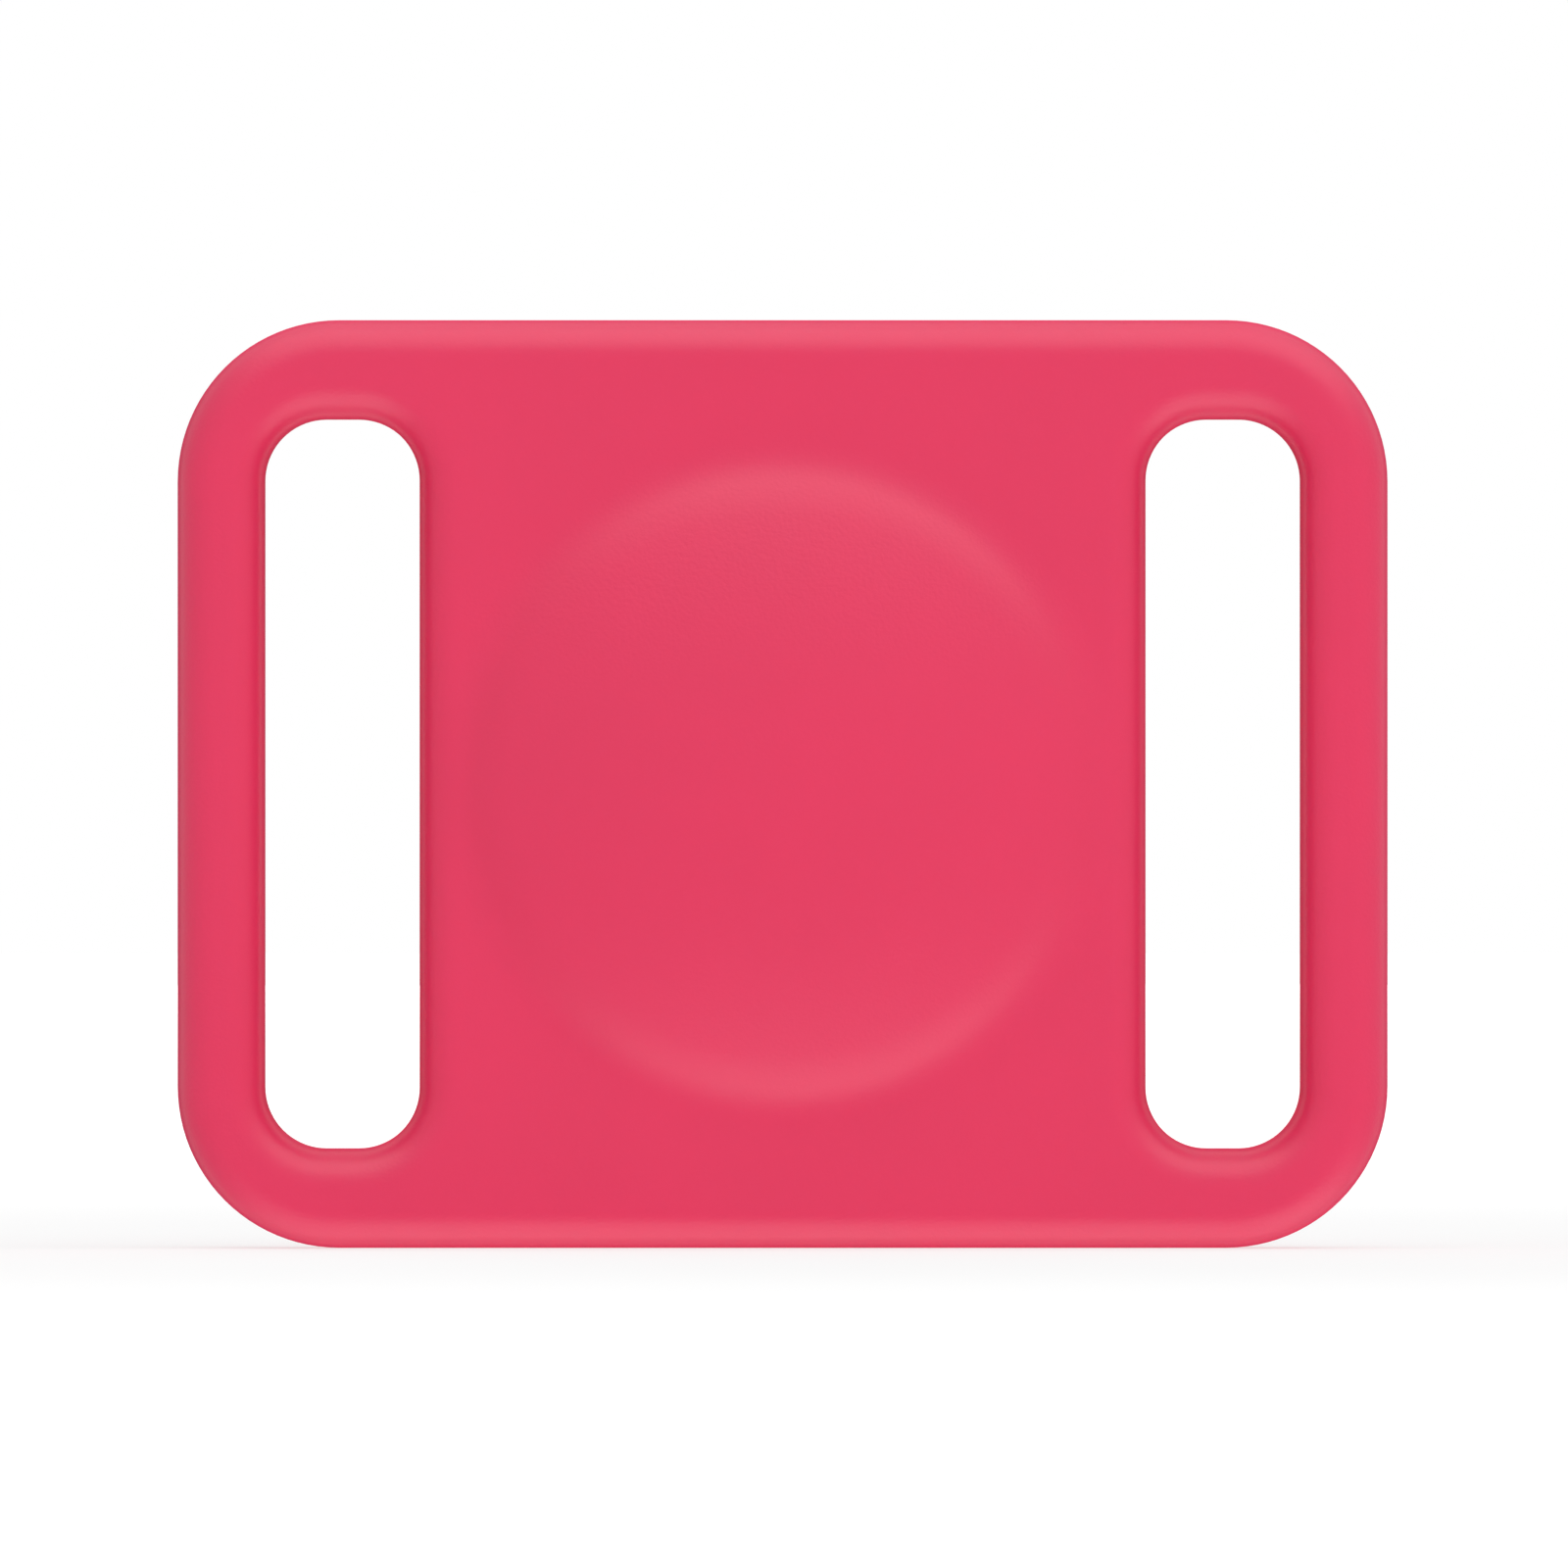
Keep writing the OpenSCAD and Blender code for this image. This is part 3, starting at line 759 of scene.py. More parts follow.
@dataclass(frozen=True)
class TagForm:
    """Outline of the tag, shared by its shell and by the pocket that holds it."""

    front: float = -3.815
    rim_centre_r: float = 13.35
    rim_r: float = 2.6
    rim_rear: float = 7.43

    @property
    def rim_centre(self) -> Point:
        """Centre of the rim's round, as radius and depth."""
        return (self.rim_centre_r, self.y(self.rim_rear - self.rim_r))

    @property
    def crown_r(self) -> float:
        """Radius of the sphere through the apex that runs into the rim's round.

        Returns:
            The radius, in millimetres.
        """
        depth = self.rim_rear - self.rim_r
        return ((self.rim_centre_r ** 2 + depth ** 2 - self.rim_r ** 2)
                / (2 * (depth - self.rim_r)))

    @property
    def crown_slope(self) -> float:
        """Slope, in degrees, where the crown meets the rim's round."""
        return math.degrees(math.asin(self.rim_centre_r / (self.crown_r - self.rim_r)))

    def y(self, depth: float) -> float:
        """Place along the holder's axis of a depth in the tag, from its apex."""
        return self.front + depth

    def crown(self, grow: float, steps: int = 26) -> list[Point]:
        """The crown's outline, from the apex to the rim's round.

        Args:
            grow: How far outside the tag's surface it lies.
            steps: Number of stretches.

        Returns:
            The points.
        """
        line = arc((0.0, self.y(self.crown_r)), self.crown_r + grow, -90,
                   self.crown_slope - 90, steps)
        line[0] = (0.0, line[0][1])
        return line

    def rim(self, grow: float, end: float, steps: int = 30) -> list[Point]:
        """The rim's outline, from the crown towards the rear.

        Args:
            grow: How far outside the tag's surface it lies.
            end: Angle from the widest point where it stops, in degrees.
            steps: Number of stretches.

        Returns:
            The points.
        """
        return arc(self.rim_centre, self.rim_r + grow, self.crown_slope - 90, end, steps)


TAG = TagForm()


# ---------------------------------------------------------------- sub-assemblies


def thrice(mesh: bpy.types.Mesh, finish: Finish) -> bpy.types.Mesh:
    """Repeats a mesh three times round the tag's axis.

    Args:
        mesh: The mesh, centred on +X.
        finish: Its finish.

    Returns:
        The three copies as one mesh.
    """
    sizes = {"Count": 3, "Start": 0.0, "Pitch": math.tau / 3}
    return round_axis_tree().apply(mesh, finish.material(), sizes)


@dataclass
class SubAssembly:
    """What the sub-assemblies share: how a finished piece joins the scene."""

    frame: dict[str, Any]

    def add(self, name: str, mesh: bpy.types.Mesh, finish: Finish, body: str, slot: str,
            *nodes: str) -> bpy.types.Object:
        """Adds a finished mesh to the scene.

        Args:
            name: The piece's name.
            mesh: The mesh, in place.
            finish: Its finish.
            body: The body that it moves with.
            slot: The record's material slot; not used.
            nodes: The solids that it stands for.

        Returns:
            The new piece.
        """
        mesh.name = name
        piece = bpy.data.objects.new(name, mesh)
        bpy.context.scene.collection.objects.link(piece)
        if not mesh.materials:
            mesh.materials.append(finish.material())
        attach(piece, body)
        if nodes:
            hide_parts(*nodes)
        log.info("%s: %d faces on %s", name, len(mesh.polygons), body)
        return piece

    def dress(self, **finishes: Finish) -> None:
        """Gives the solids that keep their shape their finishes.

        Args:
            finishes: The finish of each solid, by the solid's name.
        """
        for node, finish in finishes.items():
            solid = self.frame["nodes"][node]
            if not solid.material_slots:
                solid.data.materials.append(None)
            for slot in solid.material_slots:
                slot.material = finish.material()
            log.info("%s: dressed with %s", node, finish.name)


@dataclass
class Moulding(SubAssembly):
    """The holder's one silicone moulding: slotted plate, dome, pocket and lip."""

    # Centre of the corners, and of a slot and its corners
    corner_x: float = 22.0
    corner_z: float = 15.0
    corner_r: float = 8.0
    slot_x: float = 21.85
    slot_corner_x: float = 0.8
    slot_corner_z: float = 15.05
    slot_corner_r: float = 3.05
    face_y: float = -1.915
    rear_y: float = 5.165
    front_edge_r: float = 1.9
    rear_edge_r: float = 1.5
    # The dome's rise, the shares of it that crown and shoulder take, and its steepest slope
    dome_rise: float = 3.25
    dome_wall: float = 1.35
    crown_share: float = 0.63
    shoulder_share: float = 0.21
    flank_slope: float = 28.0
    pocket_gap: float = 0.15
    mouth_r: float = 13.5
    lip_edge_r: float = 0.7
    lip_roll_r: float = 0.4
    # The parting line: how proud it stands, then its place and half width as shares of depth
    flash: float = 0.03
    flash_at: float = 0.88
    flash_reach: float = 0.02
    # Points of the blank: a line beside each rounding, and what other points keep from it
    support: float = 0.15
    spare: float = 0.1
    edge_steps: int = 14
    lip_steps: int = 9
    # Points on the rings: evenly spaced on the inner ones, of one number from there outwards
    ring_pitch: float = 0.7
    least_steps: int = 10
    mouth_steps: int = 160
    even_rings: float = 12.0
    last_crown_ring: float = 12.9
    # Points of the grid outside the rings, with its columns and rows from the middle
    ring_gap: float = 0.6
    grid_pitch: float = 1.3
    grid: tuple[int, int] = (24, 18)
    # Faces inside this share of the mouth's radius are cut out
    hole_share: float = 0.9999
    dome: dict[str, float] = field(init=False)

    def __post_init__(self) -> None:
        """Works out the three arcs of the dome's section."""
        dome_r = TAG.crown_r + self.dome_wall
        apex = self.face_y - self.dome_rise
        slope = math.acos(1 - self.crown_share * self.dome_rise / dome_r)
        flank = math.radians(self.flank_slope)
        shoulder_r = self.shoulder_share * self.dome_rise / (math.cos(slope) - math.cos(flank))
        foot_share = 1 - self.crown_share - self.shoulder_share
        foot_r = foot_share * self.dome_rise / (1 - math.cos(flank))
        crown_end = dome_r * math.sin(slope)
        shoulder_x = crown_end - shoulder_r * math.sin(slope)
        shoulder_y = apex + dome_r * (1 - math.cos(slope)) + shoulder_r * math.cos(slope)
        shoulder_end = shoulder_x + shoulder_r * math.sin(flank)
        self.dome = {
            "Crown Radius": dome_r, "Crown Centre": apex + dome_r, "Crown End": crown_end,
            "Shoulder Radius": shoulder_r, "Shoulder Reach": shoulder_x,
            "Shoulder Centre": shoulder_y, "Shoulder End": shoulder_end,
            "Foot Radius": foot_r, "Foot End": shoulder_end + foot_r * math.sin(flank),
        }

    def plate_contour(self, inset: float) -> list[Point]:
        """The plate's outline, moved inwards."""
        return self.contour(0.0, self.corner_x, self.corner_z, self.corner_r - inset, 24)

    def slot_contour(self, side: int, outset: float) -> list[Point]:
        """A slot's outline, moved outwards into the plate."""
        return self.contour(side * self.slot_x, self.slot_corner_x, self.slot_corner_z,
                            self.slot_corner_r + outset, 18)

    @staticmethod
    def contour(centre_x: float, half_x: float, half_z: float, radius: float,
                steps: int) -> list[Point]:
        """A rounded rectangle with points along its straight sides too.

        Args:
            centre_x: Its centre.
            half_x: Half the distance between its corners' centres, across.
            half_z: The same, upwards.
            radius: Radius of its corners.
            steps: Stretches in each corner.

        Returns:
            The points, without a repeated end.
        """
        line: list[Point] = []
        signs = ((1, 1), (-1, 1), (-1, -1), (1, -1))
        for k, (sx, sz) in enumerate(signs):
            centre = (centre_x + sx * half_x, sz * half_z)
            line += arc(centre, radius, 90 * k, 90 * k + 90, steps)
            length = 2 * (half_x if k % 2 == 0 else half_z)
            count = max(1, round(length))
            last = line[-1]
            run = ((-1, 0), (0, -1), (1, 0), (0, 1))[k]
            line += [(last[0] + run[0] * length * i / count, last[1] + run[1] * length * i / count)
                     for i in range(1, count)]
        return line

    def clearance(self, x: float, z: float) -> float:
        """Distance from a point of the plate to the nearest edge of plate or slot.

        Args:
            x: The point's place across.
            z: Its place upwards.

        Returns:
            The distance, below zero outside the plate and in a slot.
        """

        def rounded(u: float, v: float) -> float:
            """Distance to a rectangle with its corner at zero."""
            return math.hypot(max(u, 0), max(v, 0)) + min(max(u, v), 0)

        plate = self.corner_r - rounded(abs(x) - self.corner_x, abs(z) - self.corner_z)
        slot = rounded(abs(abs(x) - self.slot_x) - self.slot_corner_x,
                       abs(z) - self.slot_corner_z) - self.slot_corner_r
        return min(plate, slot)

    def sheet(self, edge_r: float, rings: Sequence[float], hole_r: float,
              depth: float) -> tuple[list, list]:
        """Triangulates the plate's outline, with lines of points along every rounding.

        Args:
            edge_r: Radius of the edges' rounding.
            rings: Radii of the rings of points round the axis.
            hole_r: Radius of the hole in the middle, or zero.
            depth: Where the sheet lies, 0 at the front and 1 at the rear.

        Returns:
            Vertices, with their depth as the second number, and faces.
        """
        insets = quarter_insets(edge_r, self.edge_steps) + [edge_r + self.support]
        points: list[Vector] = [] if hole_r else [Vector((0.0, 0.0))]
        edges: list[tuple[int, int]] = []

        def loop(line: Sequence[Point]) -> None:
            """Adds a closed line.

            Args:
                line: Its points, without a repeated end.
            """
            first = len(points)
            points.extend(Vector(p) for p in line)
            edges.extend((first + i, first + (i + 1) % len(line)) for i in range(len(line)))

        for inset in insets:
            loop(self.plate_contour(inset))
            loop(self.slot_contour(-1, inset))
            loop(self.slot_contour(1, inset))
        clear = edge_r + self.support + self.spare
        for r in rings:
            count = (self.mouth_steps if r > self.even_rings
                     else max(self.least_steps, round(math.tau * r / self.ring_pitch)))
            ring = [(r * math.cos(math.tau * i / count), r * math.sin(math.tau * i / count))
                    for i in range(count)]
            if hole_r and r < hole_r + self.lip_edge_r + self.support:
                loop(ring)
            else:
                points.extend(Vector(p) for p in ring if self.clearance(*p) > clear)
        columns, rows = self.grid
        for i in range(-columns, columns + 1):
            for k in range(-rows, rows + 1):
                p = ((i + 0.5 * (k % 2)) * self.grid_pitch, k * self.grid_pitch)
                past_rings = math.hypot(*p) > rings[-1] + self.ring_gap
                if past_rings and self.clearance(*p) > clear + 2 * self.spare:
                    points.append(Vector(p))
        coords, _, faces = delaunay_2d_cdt(points, edges, [], 0, SAME_POINT)[:3]
        kept = []
        for face in faces:
            centre = sum((coords[i] for i in face), Vector((0, 0))) / len(face)
            if self.clearance(*centre) > 0 and centre.length > hole_r * self.hole_share:
                kept.append(tuple(face))
        return [(c.x, depth / MM, c.y) for c in coords], kept

    def wall(self, line: Callable[[float], list[Point]],
             stops: Sequence[tuple[float, float]]) -> tuple[list, list]:
        """Makes the wall between the front and the rear sheet along an outline.

        Args:
            line: Gives the outline, moved outwards by a distance.
            stops: Depth and outward shift of each line of points.

        Returns:
            Vertices and faces.
        """
        rows = [line(shift) for _, shift in stops]
        count = len(rows[0])
        vertices = [(x, depth / MM, z) for (depth, _), row in zip(stops, rows) for x, z in row]
        faces = [(j * count + i, j * count + (i + 1) % count,
                  (j + 1) * count + (i + 1) % count, (j + 1) * count + i)
                 for j in range(len(stops) - 1) for i in range(count)]
        return vertices, faces

    def blank(self) -> bpy.types.Mesh:
        """The flat blank that the pressing rule shapes: its depth runs from 0 to 1.

        Returns:
            The blank, open only at the mouth.
        """
        dome = self.dome
        crown, shoulder, foot = dome["Crown End"], dome["Shoulder End"], dome["Foot End"]
        rings = [float(i) for i in range(1, 13)] + [self.last_crown_ring]
        rings += [crown + (shoulder - crown) * i / 9 for i in range(10)]
        rings += [shoulder + (foot - shoulder) * i / 10 for i in range(1, 11)]
        rings.append(foot + self.support)
        lip = [self.mouth_r + inset for inset in quarter_insets(self.lip_edge_r, self.lip_steps)]
        lip.append(self.mouth_r + self.lip_edge_r + self.support)
        seam, reach = self.flash_at, self.flash_reach
        outer = [(0, 0), (0.25, 0), (0.5, 0), (0.75, 0), (seam - reach, 0),
                 (seam, -self.flash), (seam + reach, 0), (1, 0)]
        inner = [(i / 4, 0.0) for i in range(5)]
        parts = [
            self.sheet(self.front_edge_r, rings, 0.0, 0.0),
            self.sheet(self.rear_edge_r, lip, self.mouth_r, 1.0),
            self.wall(lambda shift: self.plate_contour(-shift), outer),
            self.wall(lambda shift: self.slot_contour(-1, shift), inner),
            self.wall(lambda shift: self.slot_contour(1, shift), inner),
        ]
        return joined("moulding_blank", [mesh_from("part", *part) for part in parts])

    def pressing_tree(self) -> FormTree:
        """The rule that gives each point of the blank its depth.

        Returns:
            A tree with the moulding's sizes as inputs.
        """
        sizes = self.sizes()
        form = FormTree("Pressed Moulding", sizes)
        s = form.size
        place = form.node("GeometryNodeInputPosition")
        split = form.node("ShaderNodeSeparateXYZ", {0: place.outputs[0]})
        px, share, pz = (Term(form.tree, split.outputs[i]) for i in range(3))
        x, z = px.size(), pz.size()
        r = (x.square() + z.square()).root()

        def rounded(u: Term, v: Term) -> Term:
            """Distance to a rectangle with its corner at zero."""
            return (u.most(0.0).square() + v.most(0.0).square()).root() + u.most(v).least(0.0)

        def fillet(distance: Term, radius: Term) -> Term:
            """How far a rounding falls away at a distance from its edge."""
            across = radius - distance.most(0.0).least(radius)
            return radius - (radius.square() - across.square()).root()

        def cap(radius: str, reach: Term | None = None) -> Term:
            """Height of a circle's arc over its centre, at this radius from the axis."""
            across = r - reach if reach else r
            return (s(radius).square() - across.square()).root()

        plate = s("Corner Radius") - rounded(x - s("Corner X"), z - s("Corner Z"))
        slot = rounded((x - s("Slot X")).size() - s("Slot Corner X"),
                       z - s("Slot Corner Z")) - s("Slot Corner Radius")
        edge = plate.least(slot)
        crown = s("Crown Centre") - cap("Crown Radius")
        shoulder = s("Shoulder Centre") - cap("Shoulder Radius", s("Shoulder Reach"))
        foot = s("Face") - s("Foot Radius") + cap("Foot Radius", s("Foot End"))
        dome = s("Face").mixed(foot, r.below(s("Foot End")))
        dome = dome.mixed(shoulder, r.below(s("Shoulder End")))
        dome = dome.mixed(crown, r.below(s("Crown End")))
        front = dome + fillet(edge, s("Front Edge"))
        rear = s("Rear") - fillet(edge, s("Rear Edge")) - fillet(r - s("Mouth"), s("Lip Edge"))
        depth = front.mixed(rear, share)
        point = form.node("ShaderNodeCombineXYZ", {"X": px, "Y": depth, "Z": pz})
        pressed = form.node("GeometryNodeSetPosition", {
            "Geometry": form.entry.outputs["Geometry"], "Position": point.outputs[0],
        })
        return form.end(pressed.outputs[0])

    def sizes(self) -> dict[str, float]:
        """The pressing rule's inputs.

        Returns:
            Name and value of each size, in metres.
        """
        sizes = {
            "Corner X": self.corner_x, "Corner Z": self.corner_z, "Corner Radius": self.corner_r,
            "Slot X": self.slot_x, "Slot Corner X": self.slot_corner_x,
            "Slot Corner Z": self.slot_corner_z, "Slot Corner Radius": self.slot_corner_r,
            "Face": self.face_y, "Rear": self.rear_y,
            "Front Edge": self.front_edge_r, "Rear Edge": self.rear_edge_r,
            "Mouth": self.mouth_r, "Lip Edge": self.lip_edge_r, **self.dome,
        }
        return {label: value * MM for label, value in sizes.items()}

    def pocket(self) -> bpy.types.Mesh:
        """The inside of the moulding, from the lip's inner edge to the middle of the pocket.

        Returns:
            The surface, open at the lip where it joins the pressed plate.
        """
        rim_x, rim_y = TAG.rim_centre
        across = self.mouth_r + self.lip_roll_r - rim_x
        reach = TAG.rim_r + self.pocket_gap + self.lip_roll_r
        lean = math.degrees(math.asin(across / reach))
        roll = (self.mouth_r + self.lip_roll_r, rim_y + math.sqrt(reach ** 2 - across ** 2))
        line = [(self.mouth_r, self.rear_y - self.lip_edge_r)]
        line += arc(roll, self.lip_roll_r, 180, 270 - lean, 7)
        line += TAG.rim(self.pocket_gap, 90 - lean)[-2::-1]
        line += TAG.crown(self.pocket_gap)[-2::-1]
        return lathe("pocket", line, closed=False, segments=self.mouth_steps)

    def build(self) -> None:
        """Presses the blank, closes it with the pocket and adds it to the scene."""
        material = SILICONE.material()
        plate = self.pressing_tree().apply(self.blank(), material, self.sizes())
        self.add("holder_moulding", joined("moulding", [plate, self.pocket()]), SILICONE,
                 "holder", "silicone", "sleeve", "sleeve_lip")


@dataclass
class TagShell(SubAssembly):
    """The tag's housing: domed crown, tray and the frame of the antennas."""

    wall: float = 1.0
    seam_r: float = 14.0
    seam_edge: float = 0.12
    strip_r: float = 12.85
    strip_w: float = 0.7
    strip_front: float = 4.43
    strip_t: float = 0.08
    strip_turn: float = 96.0
    strip_edge: float = 0.02

    def crown(self) -> bpy.types.Mesh:
        """The white front shell, which wraps round the rim to the seam.

        Returns:
            The closed shell.
        """
        end = math.degrees(math.acos((self.seam_r + self.seam_edge - TAG.rim_centre_r) / TAG.rim_r))
        outer = TAG.crown(0.0, 40) + TAG.rim(0.0, end, 44)[1:]
        sphere_r = TAG.crown_r - self.wall
        edge = math.degrees(math.asin(self.seam_r / sphere_r))
        inner = arc((0.0, TAG.y(TAG.crown_r)), sphere_r, edge - 90, -90, 24)
        inner[-1] = (0.0, inner[-1][1])
        seam_y = outer[-1][1]
        lip = arc((self.seam_r + self.seam_edge, seam_y - self.seam_edge), self.seam_edge,
                  100, 180, 5)
        return lathe("crown", outer[:-1] + lip + inner, closed=False, segments=192)

    def build(self) -> None:
        """Adds the shell's pieces."""
        self.add("tag_crown", self.crown(), WHITE_PLASTIC, "tag", "white_plastic", "crown_shell")
        self.dress(battery_tray=INNER_PLASTIC, antenna_frame=FRAME_PLASTIC)
        front, half = TAG.y(self.strip_front), self.strip_w / 2
        strip = arc_block("strip", self.strip_r - half, self.strip_r + half, front,
                          front + self.strip_t, self.strip_turn, self.strip_edge)
        self.add("antenna_strips", joined("strips", [thrice(strip, COPPER)]), COPPER, "tag",
                 "copper", "antenna_traces")


@dataclass
class Electronics(SubAssembly):
    """Circuit board, loudspeaker and contact springs."""

    board_front: float = 2.75
    chip_r: float = 6.62
    chip_w: float = 1.1
    chip_d: float = 0.7
    chip_t: float = 0.45
    chip_edge: float = 0.06
    chip_start: float = 45.0
    chip_turn: float = 39.0
    chip_count: int = 7
    chip_kinds: int = 3
    module_r: float = 7.553
    module_w: float = 4.2
    module_d: float = 3.4
    module_t: float = 0.5
    module_edge: float = 0.12
    coil_front: float = 1.29
    coil_rear: float = 2.3
    coil_radii: tuple[float, float] = (4.44, 4.86)
    wire_r: float = 0.075

    def chips(self) -> bpy.types.Mesh:
        """The board's chips in three sizes, each size repeated round the axis.

        Returns:
            All the chips.
        """
        repeat = round_axis_tree()
        rear = TAG.y(self.board_front)
        parts = []
        for kind in range(self.chip_kinds):
            deep, wide = self.chip_w / 2, (self.chip_d + kind * self.chip_d / 2) / 2
            block = soft_block("chip", (self.chip_r - deep, rear - self.chip_t, -wide),
                               (self.chip_r + deep, rear, wide), self.chip_edge, 2)
            count = len(range(kind, self.chip_count, self.chip_kinds))
            start = math.radians(self.chip_start + kind * self.chip_turn)
            pitch = math.radians(self.chip_kinds * self.chip_turn)
            parts.append(repeat.apply(block, PACKAGE.material(),
                                      {"Count": count, "Start": start, "Pitch": pitch}))
        return joined("chips", parts)

    def coil(self) -> bpy.types.Mesh:
        """The voice coil: two layers of round wire.

        Returns:
            Both layers.
        """
        wind = wound_coil_tree()
        length = self.coil_rear - self.coil_front - 2 * self.wire_r
        layers = []
        for radius in self.coil_radii:
            base = bpy.data.meshes.new("wire")
            layers.append(wind.apply(base, COPPER.material(), {
                "Turns": length / (2 * self.wire_r), "Radius": radius * MM, "Length": length * MM,
                "Wire": self.wire_r * MM, "Front": TAG.y(self.coil_front + self.wire_r) * MM,
            }))
        return joined("winding", layers, merge=False)

    def build(self) -> None:
        """Adds and dresses the electronics."""
        rear = TAG.y(self.board_front)
        deep, wide = self.module_d / 2, self.module_w / 2
        can = soft_block("can", (self.module_r - deep, rear - self.module_t, -wide),
                         (self.module_r + deep, rear, wide), self.module_edge)
        self.add("radio_can", can, SHEET_STEEL, "tag", "sheet_steel", "radio_module")
        self.add("board_chips", self.chips(), PACKAGE, "tag", "package_black", "board_parts")
        self.add("voice_coil_winding", self.coil(), COPPER, "tag", "copper", "voice_coil")
        self.dress(circuit_board=SOLDER_MASK, speaker_yoke=SHEET_STEEL, speaker_magnet=MAGNET,
                   pole_plate=SHEET_STEEL, contact_positive=GOLD_PLATE,
                   contact_negative=GOLD_PLATE)


@dataclass
class CoinCell(SubAssembly):
    """The coin cell: crimped can, gasket and cap."""

    radius: float = 10.0
    wall: float = 0.25
    round_r: float = 0.4
    crimp_reach: float = 0.75
    front: float = 4.1
    rear: float = 7.3
    cap_r: float = 8.6
    flange_r: float = 9.2
    flange_front: float = 4.86
    flange_t: float = 0.15
    gasket_front: float = 4.63
    gasket_rear: float = 7.02
    gasket_out_r: float = 9.72
    gasket_in_r: float = 9.22
    gasket_gap: float = 0.03
    can_edge: float = 0.06
    cap_edge: float = 0.05
    gasket_edge: float = 0.04
    mark_span: float = 2.6
    mark_w: float = 0.5
    mark_t: float = 0.035
    mark_step: float = 0.001
    mark_root: float = 0.02
    mark_edge: float = 0.03

    def can(self) -> bpy.types.Mesh:
        """The can, with a round bottom edge and its rim rolled in.

        Returns:
            The closed can.
        """
        y = TAG.y
        front, rear, inside = y(self.front + self.wall), y(self.rear), self.radius - self.wall
        crimp = self.radius - self.crimp_reach
        outline = [
            (0.0, rear), *arc((self.radius - self.round_r, rear - self.round_r),
                              self.round_r, 90, 0, 6),
            *arc((self.radius - self.wall, front + self.wall), self.wall, 0, -90, 5),
            (crimp, front), (crimp, front + self.wall), (inside, front + self.wall),
            (inside, rear - self.wall), (0.0, rear - self.wall),
        ]
        return lathe("case", softened(outline, self.can_edge), closed=False)

    def mark(self) -> bpy.types.Mesh:
        """The plus sign embossed on the positive face.

        Returns:
            The sign's two bars.
        """
        y, half, arm = TAG.y(self.rear), self.mark_span / 2, self.mark_w / 2
        low, high = y - self.mark_root, y + self.mark_t
        bars = [soft_block("bar", (-half, low, -arm), (half, high, arm), self.mark_edge, 2),
                soft_block("bar", (-arm, low, -half), (arm, high - self.mark_step, half),
                           self.mark_edge, 2)]
        return joined("mark", bars, merge=False)

    def build(self) -> None:
        """Adds and dresses the cell's pieces."""
        y = TAG.y
        self.add("cell_case", self.can(), CELL_STEEL, "cell", "sheet_steel", "cell_can")
        self.add("cell_plus_mark", self.mark(), CELL_STEEL, "cell", "sheet_steel")
        bend, front, inside = self.cap_r - self.wall, y(self.front), y(self.front + self.wall)
        flange, flange_rear = y(self.flange_front), y(self.flange_front + self.flange_t)
        cap = [(0.0, front), (bend, front), (self.cap_r, inside), (self.cap_r, flange),
               (self.flange_r, flange), (self.flange_r, flange_rear), (bend, flange_rear),
               (bend, inside), (0.0, inside)]
        self.add("cell_lid", lathe("lid", softened(cap, self.cap_edge), closed=False), CELL_STEEL,
                 "cell", "sheet_steel", "cell_cap")
        inner, step = self.cap_r + self.gasket_gap, y(self.flange_front - self.gasket_gap)
        front, rear = y(self.gasket_front), y(self.gasket_rear)
        gasket = [(inner, front), (self.gasket_out_r, front), (self.gasket_out_r, rear),
                  (self.gasket_in_r, rear), (self.gasket_in_r, step), (inner, step)]
        self.add("cell_ring_seal", lathe("gasket", softened(gasket, self.gasket_edge)), GASKET,
                 "cell", "package_black", "cell_gasket")
        self.dress(cathode_pellet=CATHODE, separator=SEPARATOR, lithium_disc=LITHIUM)


